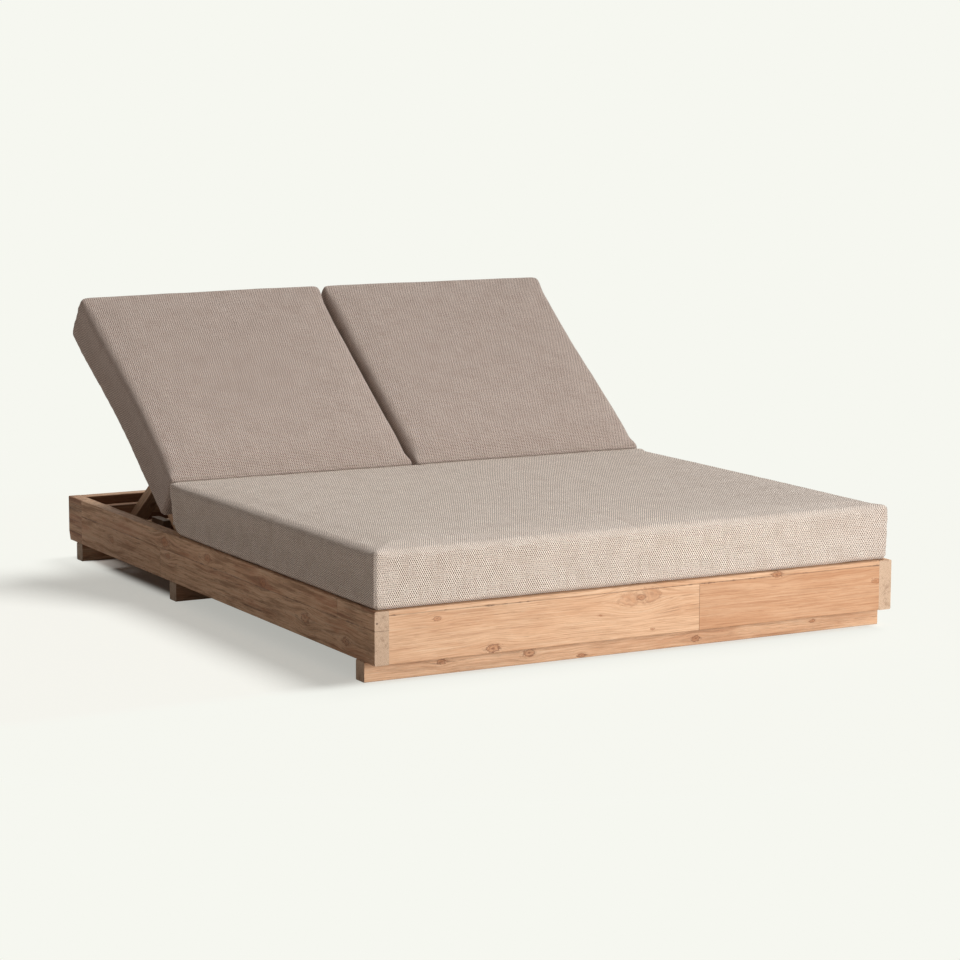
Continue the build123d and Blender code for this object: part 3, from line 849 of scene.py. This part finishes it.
seat_low, seat_high = node_box("seat_pad")
back_low, back_high = node_box("left_back_pad", rest_tilt, hinge)
right_low, _ = node_box("right_back_pad", rest_tilt, hinge)
print("seat pad", (seat_high - seat_low).round(3), "back pad", (back_high - back_low).round(3), back_low.round(4))

# %% [markdown]
# ## Cushions: stuffing
# A filled cover isn't a rounded box: the filling presses outward and the cloth answers with a slight
# crown, soft sides and tension between the corners. Cloth simulation with air pressure inside finds
# that shape. It starts from a cover a little too small and runs for twenty frames without gravity.
# The movement is capped, because foam stays nearly flat, and it fades towards the edges, where the
# foam's own corners keep the cloth straight. The underside rests on a deck, so its points are held.

# %% Stuffing
most_move = 0.006
last_frame = 20


def points_of(mesh):
    points = np.empty(len(mesh.vertices) * 3)
    mesh.vertices.foreach_get("co", points)
    return points.reshape(-1, 3)


def set_points(mesh, points):
    mesh.vertices.foreach_set("co", points.ravel())
    mesh.update()


def cut_of(mesh):
    """Where each point was on the cut box."""
    cut = np.empty(len(mesh.vertices) * 3)
    mesh.attributes["cut"].data.foreach_get("vector", cut)
    return cut.reshape(-1, 3)


def field_share(cover, size):
    """Nought along the box's edges and one a hand's breadth inside its faces."""
    cut = cut_of(cover.data)
    inside = np.sort(np.minimum(cut, size - cut), axis=1)[:, 1]
    return (1 - eased(inside, 0.09))[:, None]


def stuffed(cover, size, cap, pressure=4.0):
    """Runs the cloth and puts its capped movement into the mesh. Returns the largest before the cap."""
    before = points_of(cover.data)
    held = cover.vertex_groups.new(name="held")
    held.add([int(i) for i in np.nonzero(before[:, 2] < 0.002)[0]], 1.0, "REPLACE")
    modifier = cover.modifiers.new("stuffing", "CLOTH")
    cloth = modifier.settings
    cloth.quality = 4
    cloth.mass = 0.4
    cloth.tension_stiffness = cloth.compression_stiffness = 30
    cloth.shear_stiffness = 12
    cloth.bending_stiffness = 3
    cloth.use_pressure = True
    cloth.uniform_pressure_force = pressure
    cloth.vertex_group_mass = "held"
    cloth.effector_weights.gravity = 0
    modifier.collision_settings.use_collision = False
    modifier.point_cache.frame_start, modifier.point_cache.frame_end = 1, last_frame
    for step in range(1, last_frame + 1):
        scene.frame_set(step)
    after = points_of(cover.evaluated_get(bpy.context.evaluated_depsgraph_get()).data)
    cover.modifiers.remove(modifier)
    scene.frame_set(1)
    move = after - before
    far = np.linalg.norm(move, axis=1)
    move *= np.minimum(1.0, cap / np.maximum(far, 1e-9))[:, None] * field_share(cover, size)
    set_points(cover.data, before + move)
    return far.max()


def subdivided(piece):
    """One level of subdivision, put into the mesh."""
    modifier = piece.modifiers.new("smooth", "SUBSURF")
    modifier.levels = modifier.render_levels = 1
    mesh = bpy.data.meshes.new_from_object(piece.evaluated_get(bpy.context.evaluated_depsgraph_get()))
    piece.modifiers.remove(modifier)
    old, piece.data = piece.data, mesh
    bpy.data.meshes.remove(old)
    return len(mesh.polygons)


seat_size = (seat_high - seat_low) + (0.002, 0.006, -0.005)
back_size = (back_high - back_low) + (-0.002, 0.0085, -0.006)
seat = cushion_cover("seat_cushion", seat_size, True, "end")
back = cushion_cover("left_back_cushion", back_size, False, "start")
for cover, size in ((seat, seat_size), (back, back_size)):
    pressed = stuffed(cover, size, most_move)
    print(cover.name, len(cover.data.vertices), "points, pressed out", round(pressed * 1000, 1), "mm before the cap")
print("faces", subdivided(seat), subdivided(back))

# %% [markdown]
# ## Cushions: seams and puckers
# The seams come after the simulation, on the finer mesh. A seam pulls the cloth in along its line, and
# the thread gathers it, so short puckers stand at right angles to it and fade within two
# centimetres. The same pass lays in the shallow hollows of a seat that has been used. Each point
# moves along its own normal, by a sum of these. Before that, one far corner of each cushion is
# flared a little, because the filling isn't even.

# %% Seams and puckers
seat_rim = np.array([-0.001, -0.007, 0.0])
back_rim = np.array([0.001, -0.0045, 0.0])
crown_room = 0.026


def flared(piece, size, outer, wider, reach, drop=0.0, top_only=False):
    """Widens a cushion towards one far corner, and lets that corner sink. outer is -1 for the side
    where X is low and 1 for the other."""
    cut, points = cut_of(piece.data), points_of(piece.data)
    share = np.clip(0.5 + outer * (cut[:, 0] / size[0] - 0.5), 0, 1) ** 2 * eased(size[1] - cut[:, 1], reach)
    rise = cut[:, 2] / size[2]
    points[:, 0] += outer * wider * share * (rise if top_only else 1.0)
    points[:, 1] -= drop * share
    points[:, 2] -= drop * share * rise
    set_points(piece.data, points)


def pulled(gap, along, across, depth, gather, seed):
    """A seam's groove, and the puckers that its thread gathers beside it."""
    pucker = noise.noise(Vector((along * 52, across * 18, seed)))
    return gather * pucker * exp(-gap / 0.018) - depth * exp(-(gap / 0.0055) ** 2)


def sewn(piece, size, middle_seam, joint, seed):
    """Pulls in the seams, gathers the cloth beside them and adds wide hollows."""
    mesh = piece.data
    width, length, height = size
    normals = [v.normal.copy() for v in mesh.vertices]
    for vertex, (x, y, z), normal in zip(mesh.vertices, cut_of(mesh).tolist(), normals):
        side, end = min(x, width - x), min(y, length - y)
        upright, lower = hypot(side, end), hypot(z, min(side, end))
        sewn_edge = hypot(length - y if joint == "end" else y, height - z)
        push = pulled(upright, z, side + end, 0.0016, 0.0026, seed)
        push += pulled(lower, x + y, lower, 0.0012, 0.0014, seed + 2)
        push += pulled(sewn_edge, x, sewn_edge, 0.0012, 0.0016, seed + 9)
        if middle_seam:
            line = abs(x - width / 2)
            push += pulled(line, y + z, line, 0.0012, 0.0007, seed + 5)
        push -= 0.0025 * exp(-(hypot(upright, height - z) / 0.014) ** 2)
        push += 0.0022 * noise.noise(Vector((x * 3.1, y * 3.1, z * 5 + seed)))
        push += 0.0008 * noise.noise(Vector((x * 14, y * 14, z * 14 + seed)))
        if z < 0.01 * height:
            push = min(push, 0.0)
        vertex.co += normal * push
    mesh.update()


def kept_inside(piece, size, left, right, ends=0.0006):
    """Holds the cover above its deck and near its cut size: left and right are how far it may stand
    out across, and ends how far at both ends, where the cushions meet."""
    low = np.array([-left, -ends, 0.0])
    high = np.array(size) + np.array([right, ends, crown_room])
    points = np.clip(points_of(piece.data), low, high)
    set_points(piece.data, points)
    print(piece.name, "from", points.min(0).round(4), "to", points.max(0).round(4), "of", np.array(size).round(4))


def put(piece, low, tilt=0.0, centre=(0, 0, 0)):
    """Places a finished cushion in its mesh, and leaves its object at the origin."""
    shift = Matrix.Translation(Vector([float(v) for v in low]))
    piece.data.transform(Matrix.Translation(Vector(centre)) @ Matrix.Rotation(tilt, 4, "X") @ shift)
    piece.data.update()


right_back = bpy.data.objects.new("right_back_cushion", back.data.copy())
scene.collection.objects.link(right_back)
flared(back, back_size, -1, 0.019, 0.5, drop=0.006)
flared(right_back, back_size, 1, 0.004, 0.4)
flared(seat, seat_size, -1, 0.009, 0.35, top_only=True)
sewn(seat, seat_size, True, "end", 3.0)
sewn(back, back_size, False, "start", 11.0)
sewn(right_back, back_size, False, "start", 23.0)
kept_inside(seat, seat_size, 0.0125, 0.0055)
kept_inside(back, back_size, 0.0255, 0.0055)
kept_inside(right_back, back_size, 0.0055, 0.0095)
put(seat, seat_low + seat_rim)
put(back, back_low + back_rim, rest_tilt, hinge)
put(right_back, right_low + back_rim, rest_tilt, hinge)
for piece, cloth in ((seat, seat_cloth), (back, back_cloth_painted_shade), (right_back, back_cloth_painted_shade)):
    piece.data.materials.clear()
    piece.data.materials.append(cloth)
    piece.data.name = piece.name
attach(seat, "base")
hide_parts("seat_pad")
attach(back, "left_back_cushion")
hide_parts("left_back_pad")
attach(right_back, "right_back_cushion")
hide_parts("right_back_pad")
print("cushions", [round(d, 3) for d in seat.dimensions], [round(d, 3) for d in back.dimensions])

# %% [markdown]
# ## What repeats: stitches, zip teeth and screws
# Each of these is one small shape, many times over, along a line or at marked places. Copied by hand,
# their number and sizes would be fixed in the code. Geometry Nodes do it by rule: a tree takes a line
# or some points, each with the direction that it faces, and puts the shape there. Its sizes are named
# inputs, so one tree serves every row. A modifier knows an input only by its identifier, so the helper
# keeps those by name. At the end each result is turned into a plain mesh.

# %% Geometry tree helpers
def new_geometry_tree(name, inputs):
    """An empty tree. Returns it, the outputs of its input node, and its inputs' identifiers by name."""
    tree = bpy.data.node_groups.new(name, "GeometryNodeTree")
    tree.interface.new_socket("Geometry", in_out="INPUT", socket_type="NodeSocketGeometry")
    tree.interface.new_socket("Geometry", in_out="OUTPUT", socket_type="NodeSocketGeometry")
    keys = {label: tree.interface.new_socket(label, in_out="INPUT", socket_type="NodeSocket" + kind).identifier
            for label, kind in inputs}
    return tree, tree.nodes.new("NodeGroupInput").outputs, keys


def turned_to_face(tree, along):
    """A rotation whose Z is the direction stored on each point, and whose X is nearest to along."""
    stored = add_node(tree, "GeometryNodeInputNamedAttribute", {"Name": "facing"}, data_type="FLOAT_VECTOR")
    axes = {"Primary Axis": stored.outputs["Attribute"], "Secondary Axis": along}
    return add_node(tree, "FunctionNodeAxesToRotation", axes, primary_axis="Z", secondary_axis="X").outputs[0]


def points_along(tree, given):
    """Points at the given pitch along the line, and how a shape on each is turned."""
    line = add_node(tree, "GeometryNodeMeshToCurve", {"Mesh": given["Geometry"]}).outputs[0]
    values = {"Curve": line, "Length": given["Pitch"]}
    points = add_node(tree, "GeometryNodeResampleCurve", values, mode="LENGTH").outputs[0]
    return points, turned_to_face(tree, tree.nodes.new("GeometryNodeInputTangent").outputs[0])


def shape_of(tree, given):
    return add_node(tree, "GeometryNodeObjectInfo", {"Object": given["Shape"]}).outputs["Geometry"]


def on_points(tree, points, shape, turn, **more):
    values = {"Points": points, "Instance": shape, "Rotation": turn, **more}
    return add_node(tree, "GeometryNodeInstanceOnPoints", values).outputs[0]


def end_tree(tree, shapes, material):
    """The last nodes: the instances become real, and get their material."""
    real = add_node(tree, "GeometryNodeRealizeInstances", {"Geometry": shapes}).outputs[0]
    done = add_node(tree, "GeometryNodeSetMaterial", {"Geometry": real, "Material": material}).outputs[0]
    add_node(tree, "NodeGroupOutput", {"Geometry": done})


def repeated(name, kind, points, facings, values, body, slot):
    """Runs a tree along the points, or on each of them, keeps its result as a mesh and rides it."""
    tree, keys = kind
    mesh = bpy.data.meshes.new(name)
    links = [(i, i + 1) for i in range(len(points) - 1)] if "Pitch" in keys else []
    mesh.from_pydata([tuple(point) for point in points], links, [])
    stored = mesh.attributes.new("facing", "FLOAT_VECTOR", "POINT")
    stored.data.foreach_set("vector", [value for facing in facings for value in facing])
    piece = bpy.data.objects.new(name, mesh)
    scene.collection.objects.link(piece)
    modifier = piece.modifiers.new(name, "NODES")
    modifier.node_group = tree
    for label, value in values.items():
        modifier[keys[label]] = value
    result = bpy.data.meshes.new_from_object(piece.evaluated_get(bpy.context.evaluated_depsgraph_get()))
    piece.modifiers.remove(modifier)
    piece.data = result
    bpy.data.meshes.remove(mesh)
    result.name = name
    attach(piece, body)
    print(name, len(result.polygons), "faces")


# %% [markdown]
# ## Stitches
# A sewn joint shows a row of short thread arcs, each rising out of the cloth and diving back. One arc
# is a quadratic curve with a round profile, so the thread's thickness and the stitch's length stay
# free. The row's path is found by rays cast at the finished cushion, because only that mesh knows
# where the cloth ended up.

# %% Stitch tree
def make_stitch_tree():
    inputs = [("Pitch", "Float"), ("Length", "Float"), ("Thread", "Float"), ("Material", "Material")]
    tree, given, keys = new_geometry_tree("running stitch", inputs)
    points, turn = points_along(tree, given)
    half = times(tree, given["Length"], 0.5)
    sunk = times(tree, given["Thread"], -0.5)
    ends = {"Start": from_axes(tree, times(tree, half, -1.0), 0.0, sunk),
            "Middle": from_axes(tree, 0.0, 0.0, times(tree, given["Thread"], 1.5)),
            "End": from_axes(tree, half, 0.0, sunk), "Resolution": 5}
    arc = add_node(tree, "GeometryNodeCurveQuadraticBezier", ends).outputs[0]
    round_profile = {"Resolution": 6, "Radius": times(tree, given["Thread"], 0.5)}
    ring = add_node(tree, "GeometryNodeCurvePrimitiveCircle", round_profile).outputs[0]
    sweep = {"Curve": arc, "Profile Curve": ring, "Fill Caps": True}
    stitch = add_node(tree, "GeometryNodeCurveToMesh", sweep).outputs[0]
    end_tree(tree, on_points(tree, points, stitch, turn), given["Material"])
    return tree, keys


def make_trim(name, light, dark, factors, rough):
    """A plain two-tone finish for thread and tape, with the noise drawn out by the factors."""
    material, tree, shader = new_material(name)
    place = tree.nodes.new("ShaderNodeTexCoord").outputs["Object"]
    twist = speckle(tree, stretch(tree, place, factors), 3.0, 0.6)
    colour = mix_colour(tree, soft_step(tree, twist, 0.35, 0.65), light, dark)
    finish_shader(tree, shader, colour, scaled(tree, twist, 0.15, rough), twist, 0.5, 0.0004)
    return material


stitch_tree = make_stitch_tree()
thread = make_trim("sewing thread", srgb(222, 208, 192), srgb(158, 140, 124), (1100.0, 1100.0, 1100.0), 0.7)
print("running stitch:", len(stitch_tree[0].nodes), "nodes")

# %% Stitched rows
up_back = Vector((0, cos(rest_tilt), sin(rest_tilt)))
out_back = Vector((0, -sin(rest_tilt), cos(rest_tilt)))
down = Vector((0, 0, -1))
ray_step, thread_lift = 0.012, 0.0002
seat_row_y, back_row_along, above_all = 0.218, 0.0745, 0.6


def on_back(x, along, off):
    """A place in the backrest's own directions: across, up the board and out from it."""
    return hinge + Vector((x, 0, 0)) + up_back * along + out_back * off


def surface_of(piece):
    return BVHTree.FromPolygons([v.co for v in piece.data.vertices], [p.vertices for p in piece.data.polygons])


def traced(surface, starts, direction, lift=0.0):
    """Where rays meet a cushion, raised a little, and the directions that the cloth faces there."""
    hits = [surface.ray_cast(start, direction) for start in starts]
    return [hit[0] + hit[1] * lift for hit in hits], [hit[1] for hit in hits]


def steps(first, last, step):
    count = round(abs(last - first) / step)
    return [first + (last - first) * i / count for i in range(count + 1)]


stitch_sizes = {"Pitch": 0.0062, "Length": 0.0046, "Thread": 0.0011, "Material": thread}
starts = [Vector((x, seat_row_y, above_all)) for x in steps(-0.728, 0.728, ray_step)]
row = traced(surface_of(seat), starts, down, thread_lift)
repeated("seat_joint_stitches", stitch_tree, *row, stitch_sizes, "base", "fabric")
back_surfaces = {"left": surface_of(back), "right": surface_of(right_back)}
for side, ends in (("left", (-0.732, -0.020)), ("right", (0.020, 0.732))):
    starts = [on_back(x, back_row_along, above_all) for x in steps(*ends, ray_step)]
    row = traced(back_surfaces[side], starts, -out_back, thread_lift)
    repeated(side + "_joint_stitches", stitch_tree, *row, stitch_sizes, side + "_back_cushion", "fabric")

# %% [markdown]
# ## Zips
# A cover comes off for washing by a zip in its head end, where nobody leans on it. The teeth are a
# flat outline with a knob, drawn once in mesh code and repeated by a tree that turns every second one
# round, so that the two rows mesh. The tape follows the cloth by the same rays as the stitches, and
# its edges dip into the cover.

# %% Small shapes
def plate(build, outline, low, high, place=Matrix()):
    """A flat shape with thickness. The outline goes counter-clockwise, seen from above."""
    below, above = ([build.verts.new(place @ Vector((x, y, z))) for x, y in outline] for z in (low, high))
    build.faces.new(below[::-1])
    build.faces.new(above)
    for i, start in enumerate(below):
        j = (i + 1) % len(below)
        build.faces.new((start, below[j], above[j], above[i]))


def built(name, make, material):
    """An object from mesh code: make adds the faces to an empty mesh."""
    build = bmesh.new()
    make(build)
    bmesh.ops.recalc_face_normals(build, faces=build.faces[:])
    mesh = bpy.data.meshes.new(name)
    build.to_mesh(mesh)
    build.free()
    mesh.materials.append(material)
    piece = bpy.data.objects.new(name, mesh)
    scene.collection.objects.link(piece)
    return piece


def tooth_shape(build):
    outline = [(-0.0005, -0.0030), (0.0005, -0.0030), (0.0005, -0.0004), (0.0008, 0.0), (0.0007, 0.0006),
               (0.0003, 0.0009), (-0.0003, 0.0009), (-0.0007, 0.0006), (-0.0008, 0.0), (-0.0005, -0.0004)]
    plate(build, outline, 0.0, 0.0018)


def make_teeth_tree():
    inputs = [("Shape", "Object"), ("Pitch", "Float"), ("Material", "Material")]
    tree, given, keys = new_geometry_tree("zip teeth", inputs)
    points, turn = points_along(tree, given)
    row = on_points(tree, points, shape_of(tree, given), turn)
    odd = calc(tree, "MODULO", tree.nodes.new("GeometryNodeInputIndex").outputs[0], 2.0)
    half_turn = from_axes(tree, 0.0, 0.0, times(tree, odd, pi))
    row = add_node(tree, "GeometryNodeRotateInstances", {"Instances": row, "Rotation": half_turn}).outputs[0]
    end_tree(tree, row, given["Material"])
    return tree, keys


teeth_tree = make_teeth_tree()
tooth = built("tooth", tooth_shape, dull_metal)
print("one tooth has", len(tooth.data.polygons), "faces")

# %% Zips on the back cushions
tape_cloth = make_trim("zip tape", srgb(152, 136, 122), srgb(108, 94, 84), (300.0, 2400.0, 2400.0), 0.8)
zip_height, beyond_head, tooth_lift = 0.084, 1.2, 0.0008
tape_profile = [(-0.0130, -0.0010), (-0.0122, 0.0005), (-0.0050, 0.0006), (-0.0034, 0.0011),
                (0.0034, 0.0011), (0.0050, 0.0006), (0.0122, 0.0005), (0.0130, -0.0010)]
slider_body = [(-0.0075, -0.0048), (0.004, -0.0060), (0.0078, -0.0032),
               (0.0078, 0.0032), (0.004, 0.0060), (-0.0075, 0.0048)]
slider_bridge = [(-0.0045, -0.0013), (0.0045, -0.0013), (0.0045, 0.0013), (-0.0045, 0.0013)]
slider_puller = [(-0.030, -0.0030), (-0.028, -0.0036), (-0.012, -0.0030), (0.001, -0.0021), (0.003, -0.0012),
                 (0.003, 0.0012), (0.001, 0.0021), (-0.012, 0.0030), (-0.028, 0.0036), (-0.030, 0.0030)]
slider_plates = [(slider_body, 0.0022, 0.0036), (slider_bridge, 0.0034, 0.0062), (slider_puller, 0.0040, 0.0053)]


def zip_row(surface, places, off, lift):
    """A line on a cushion's head end, found by rays from beyond it."""
    starts = [on_back(x, beyond_head, zip_height + off) for x in places]
    return traced(surface, starts, -up_back, lift)


def zip_tape(name, surface, places):
    rows = [zip_row(surface, places, off, lift)[0] for off, lift in tape_profile]

    def make(build):
        grid = [[build.verts.new(point) for point in row] for row in rows]
        for low, high in zip(grid, grid[1:]):
            for i in range(len(places) - 1):
                build.faces.new((low[i], high[i], high[i + 1], low[i + 1]))
    return built(name, make, tape_cloth)


def slider_shape(place, way):
    """A slider with its puller lying along the zip. way is 1 or -1, along X."""
    def make(build):
        for outline, low, high in slider_plates:
            plate(build, outline, low, high, Matrix.Diagonal((way, 1, 1, 1)))
        bmesh.ops.recalc_face_normals(build, faces=build.faces[:])
        bmesh.ops.bevel(build, geom=build.edges[:], offset=0.0003, segments=2, affect="EDGES", profile=0.5)
        build.transform(place)
    return make


for side, ends, way in (("left", (-0.060, -0.680), 1), ("right", (0.060, 0.680), -1)):
    surface, body = back_surfaces[side], side + "_back_cushion"
    places = steps(min(ends), max(ends), 0.010)
    tape = zip_tape(side + "_zip_tape", surface, places)
    path, facings = zip_row(surface, places, 0.0, tooth_lift)
    tooth_sizes = {"Shape": tooth, "Pitch": 0.0015, "Material": dull_metal}
    repeated(side + "_zip_teeth", teeth_tree, path, facings, tooth_sizes, body, "steel")
    near = 2 if way == 1 else -3
    x_axis = (path[near + 1] - path[near - 1]).normalized()
    z_axis = (facings[near] - x_axis * facings[near].dot(x_axis)).normalized()
    turn = Matrix((x_axis, z_axis.cross(x_axis), z_axis)).transposed().to_4x4()
    slider = built(side + "_zip_slider", slider_shape(Matrix.Translation(path[near]) @ turn, -way), dull_metal)
    for piece, slot in ((tape, "fabric"), (slider, "steel")):
        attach(piece, body)
    print(side, "zip", round((path[-1] - path[0]).length * 1000), "mm long")
bpy.data.objects.remove(tooth)

# %% [markdown]
# ## Screws
# Boards like these are held by countersunk screws whose heads stay visible on the faces that nobody
# looks at first: the outside of the rear rail, the ledgers and the edges of the backrests. The head
# is a lathe of twelve segments with a six-sided recess. A tree puts it on marked points and turns
# each by a random amount with a fixed seed, because nobody lines screws up.

# %% Screw tree
head_rings = [(0.0042, -0.0004, False), (0.0042, 0.0002, False), (0.0036, 0.0006, False),
              (0.0019, 0.0006, True), (0.0018, -0.0010, True)]
segments = 12


def screw_head(build):
    """Rings from the rim inwards: (radius, height, whether the ring is six-sided)."""
    rings = []
    for radius, height, six_sided in head_rings:
        reach = [radius * (cos(pi / 6) if six_sided and i % 2 else 1.0) for i in range(segments)]
        rings.append([build.verts.new((r * cos(2 * pi * i / segments), r * sin(2 * pi * i / segments), height))
                      for i, r in enumerate(reach)])
    for outer, inner in zip(rings, rings[1:]):
        for i in range(segments):
            j = (i + 1) % segments
            build.faces.new((outer[i], outer[j], inner[j], inner[i]))
    build.faces.new(rings[-1])


def make_marks_tree():
    inputs = [("Shape", "Object"), ("Size", "Float"), ("Seed", "Int"), ("Material", "Material")]
    tree, given, keys = new_geometry_tree("shape on each mark", inputs)
    lowest = {0: (-1.0, -1.0, -1.0), "Seed": given["Seed"]}
    spin = add_node(tree, "FunctionNodeRandomValue", lowest, data_type="FLOAT_VECTOR").outputs[0]
    turn = turned_to_face(tree, spin)
    heads = on_points(tree, given["Geometry"], shape_of(tree, given), turn, Scale=given["Size"])
    end_tree(tree, heads, given["Material"])
    return tree, keys


marks_tree = make_marks_tree()
head = built("screw_head", screw_head, steel)
print("one screw head has", len(head.data.polygons), "faces")

# %% Screws in the boards
rear_face, ledger_face, bracket_top = 1.0, 0.932, 0.14175
stile_face, head_face = 0.708, 0.690
marks = [((side * x, rear_face, z), (0, 1, 0)) for side in (-1, 1) for x in (0.114, 0.598) for z in (0.078, 0.125)]
marks += [((0, rear_face, z), (0, 1, 0)) for z in (0.080, 0.130)]
marks += [((side * x, ledger_face, 0.138), (0, -1, 0)) for side in (-1, 1) for x in (0.060, 0.250, 0.450, 0.650)]
marks += [((x, y, bracket_top), (0, 0, 1)) for x in (-0.012, 0.012) for y in (0.247, 0.293)]
screw_sizes = {"Shape": head, "Size": 1.0, "Material": steel}
repeated("frame_screws", marks_tree, *zip(*marks), {**screw_sizes, "Seed": 3}, "base", "steel")
for number, (side, way) in enumerate((("left", -1), ("right", 1))):
    marks = [(on_back(way * stile_face, along, 0), (way, 0, 0)) for along in (0.030, 0.050, 0.656, 0.679)]
    marks += [(on_back(way * x, head_face, 0), up_back) for x in (0.1531, 0.2884, 0.4236, 0.5589)]
    sizes = {**screw_sizes, "Seed": 7 + number}
    repeated(side + "_back_screws", marks_tree, *zip(*marks), sizes, side + "_backrest", "steel")
bpy.data.objects.remove(head)
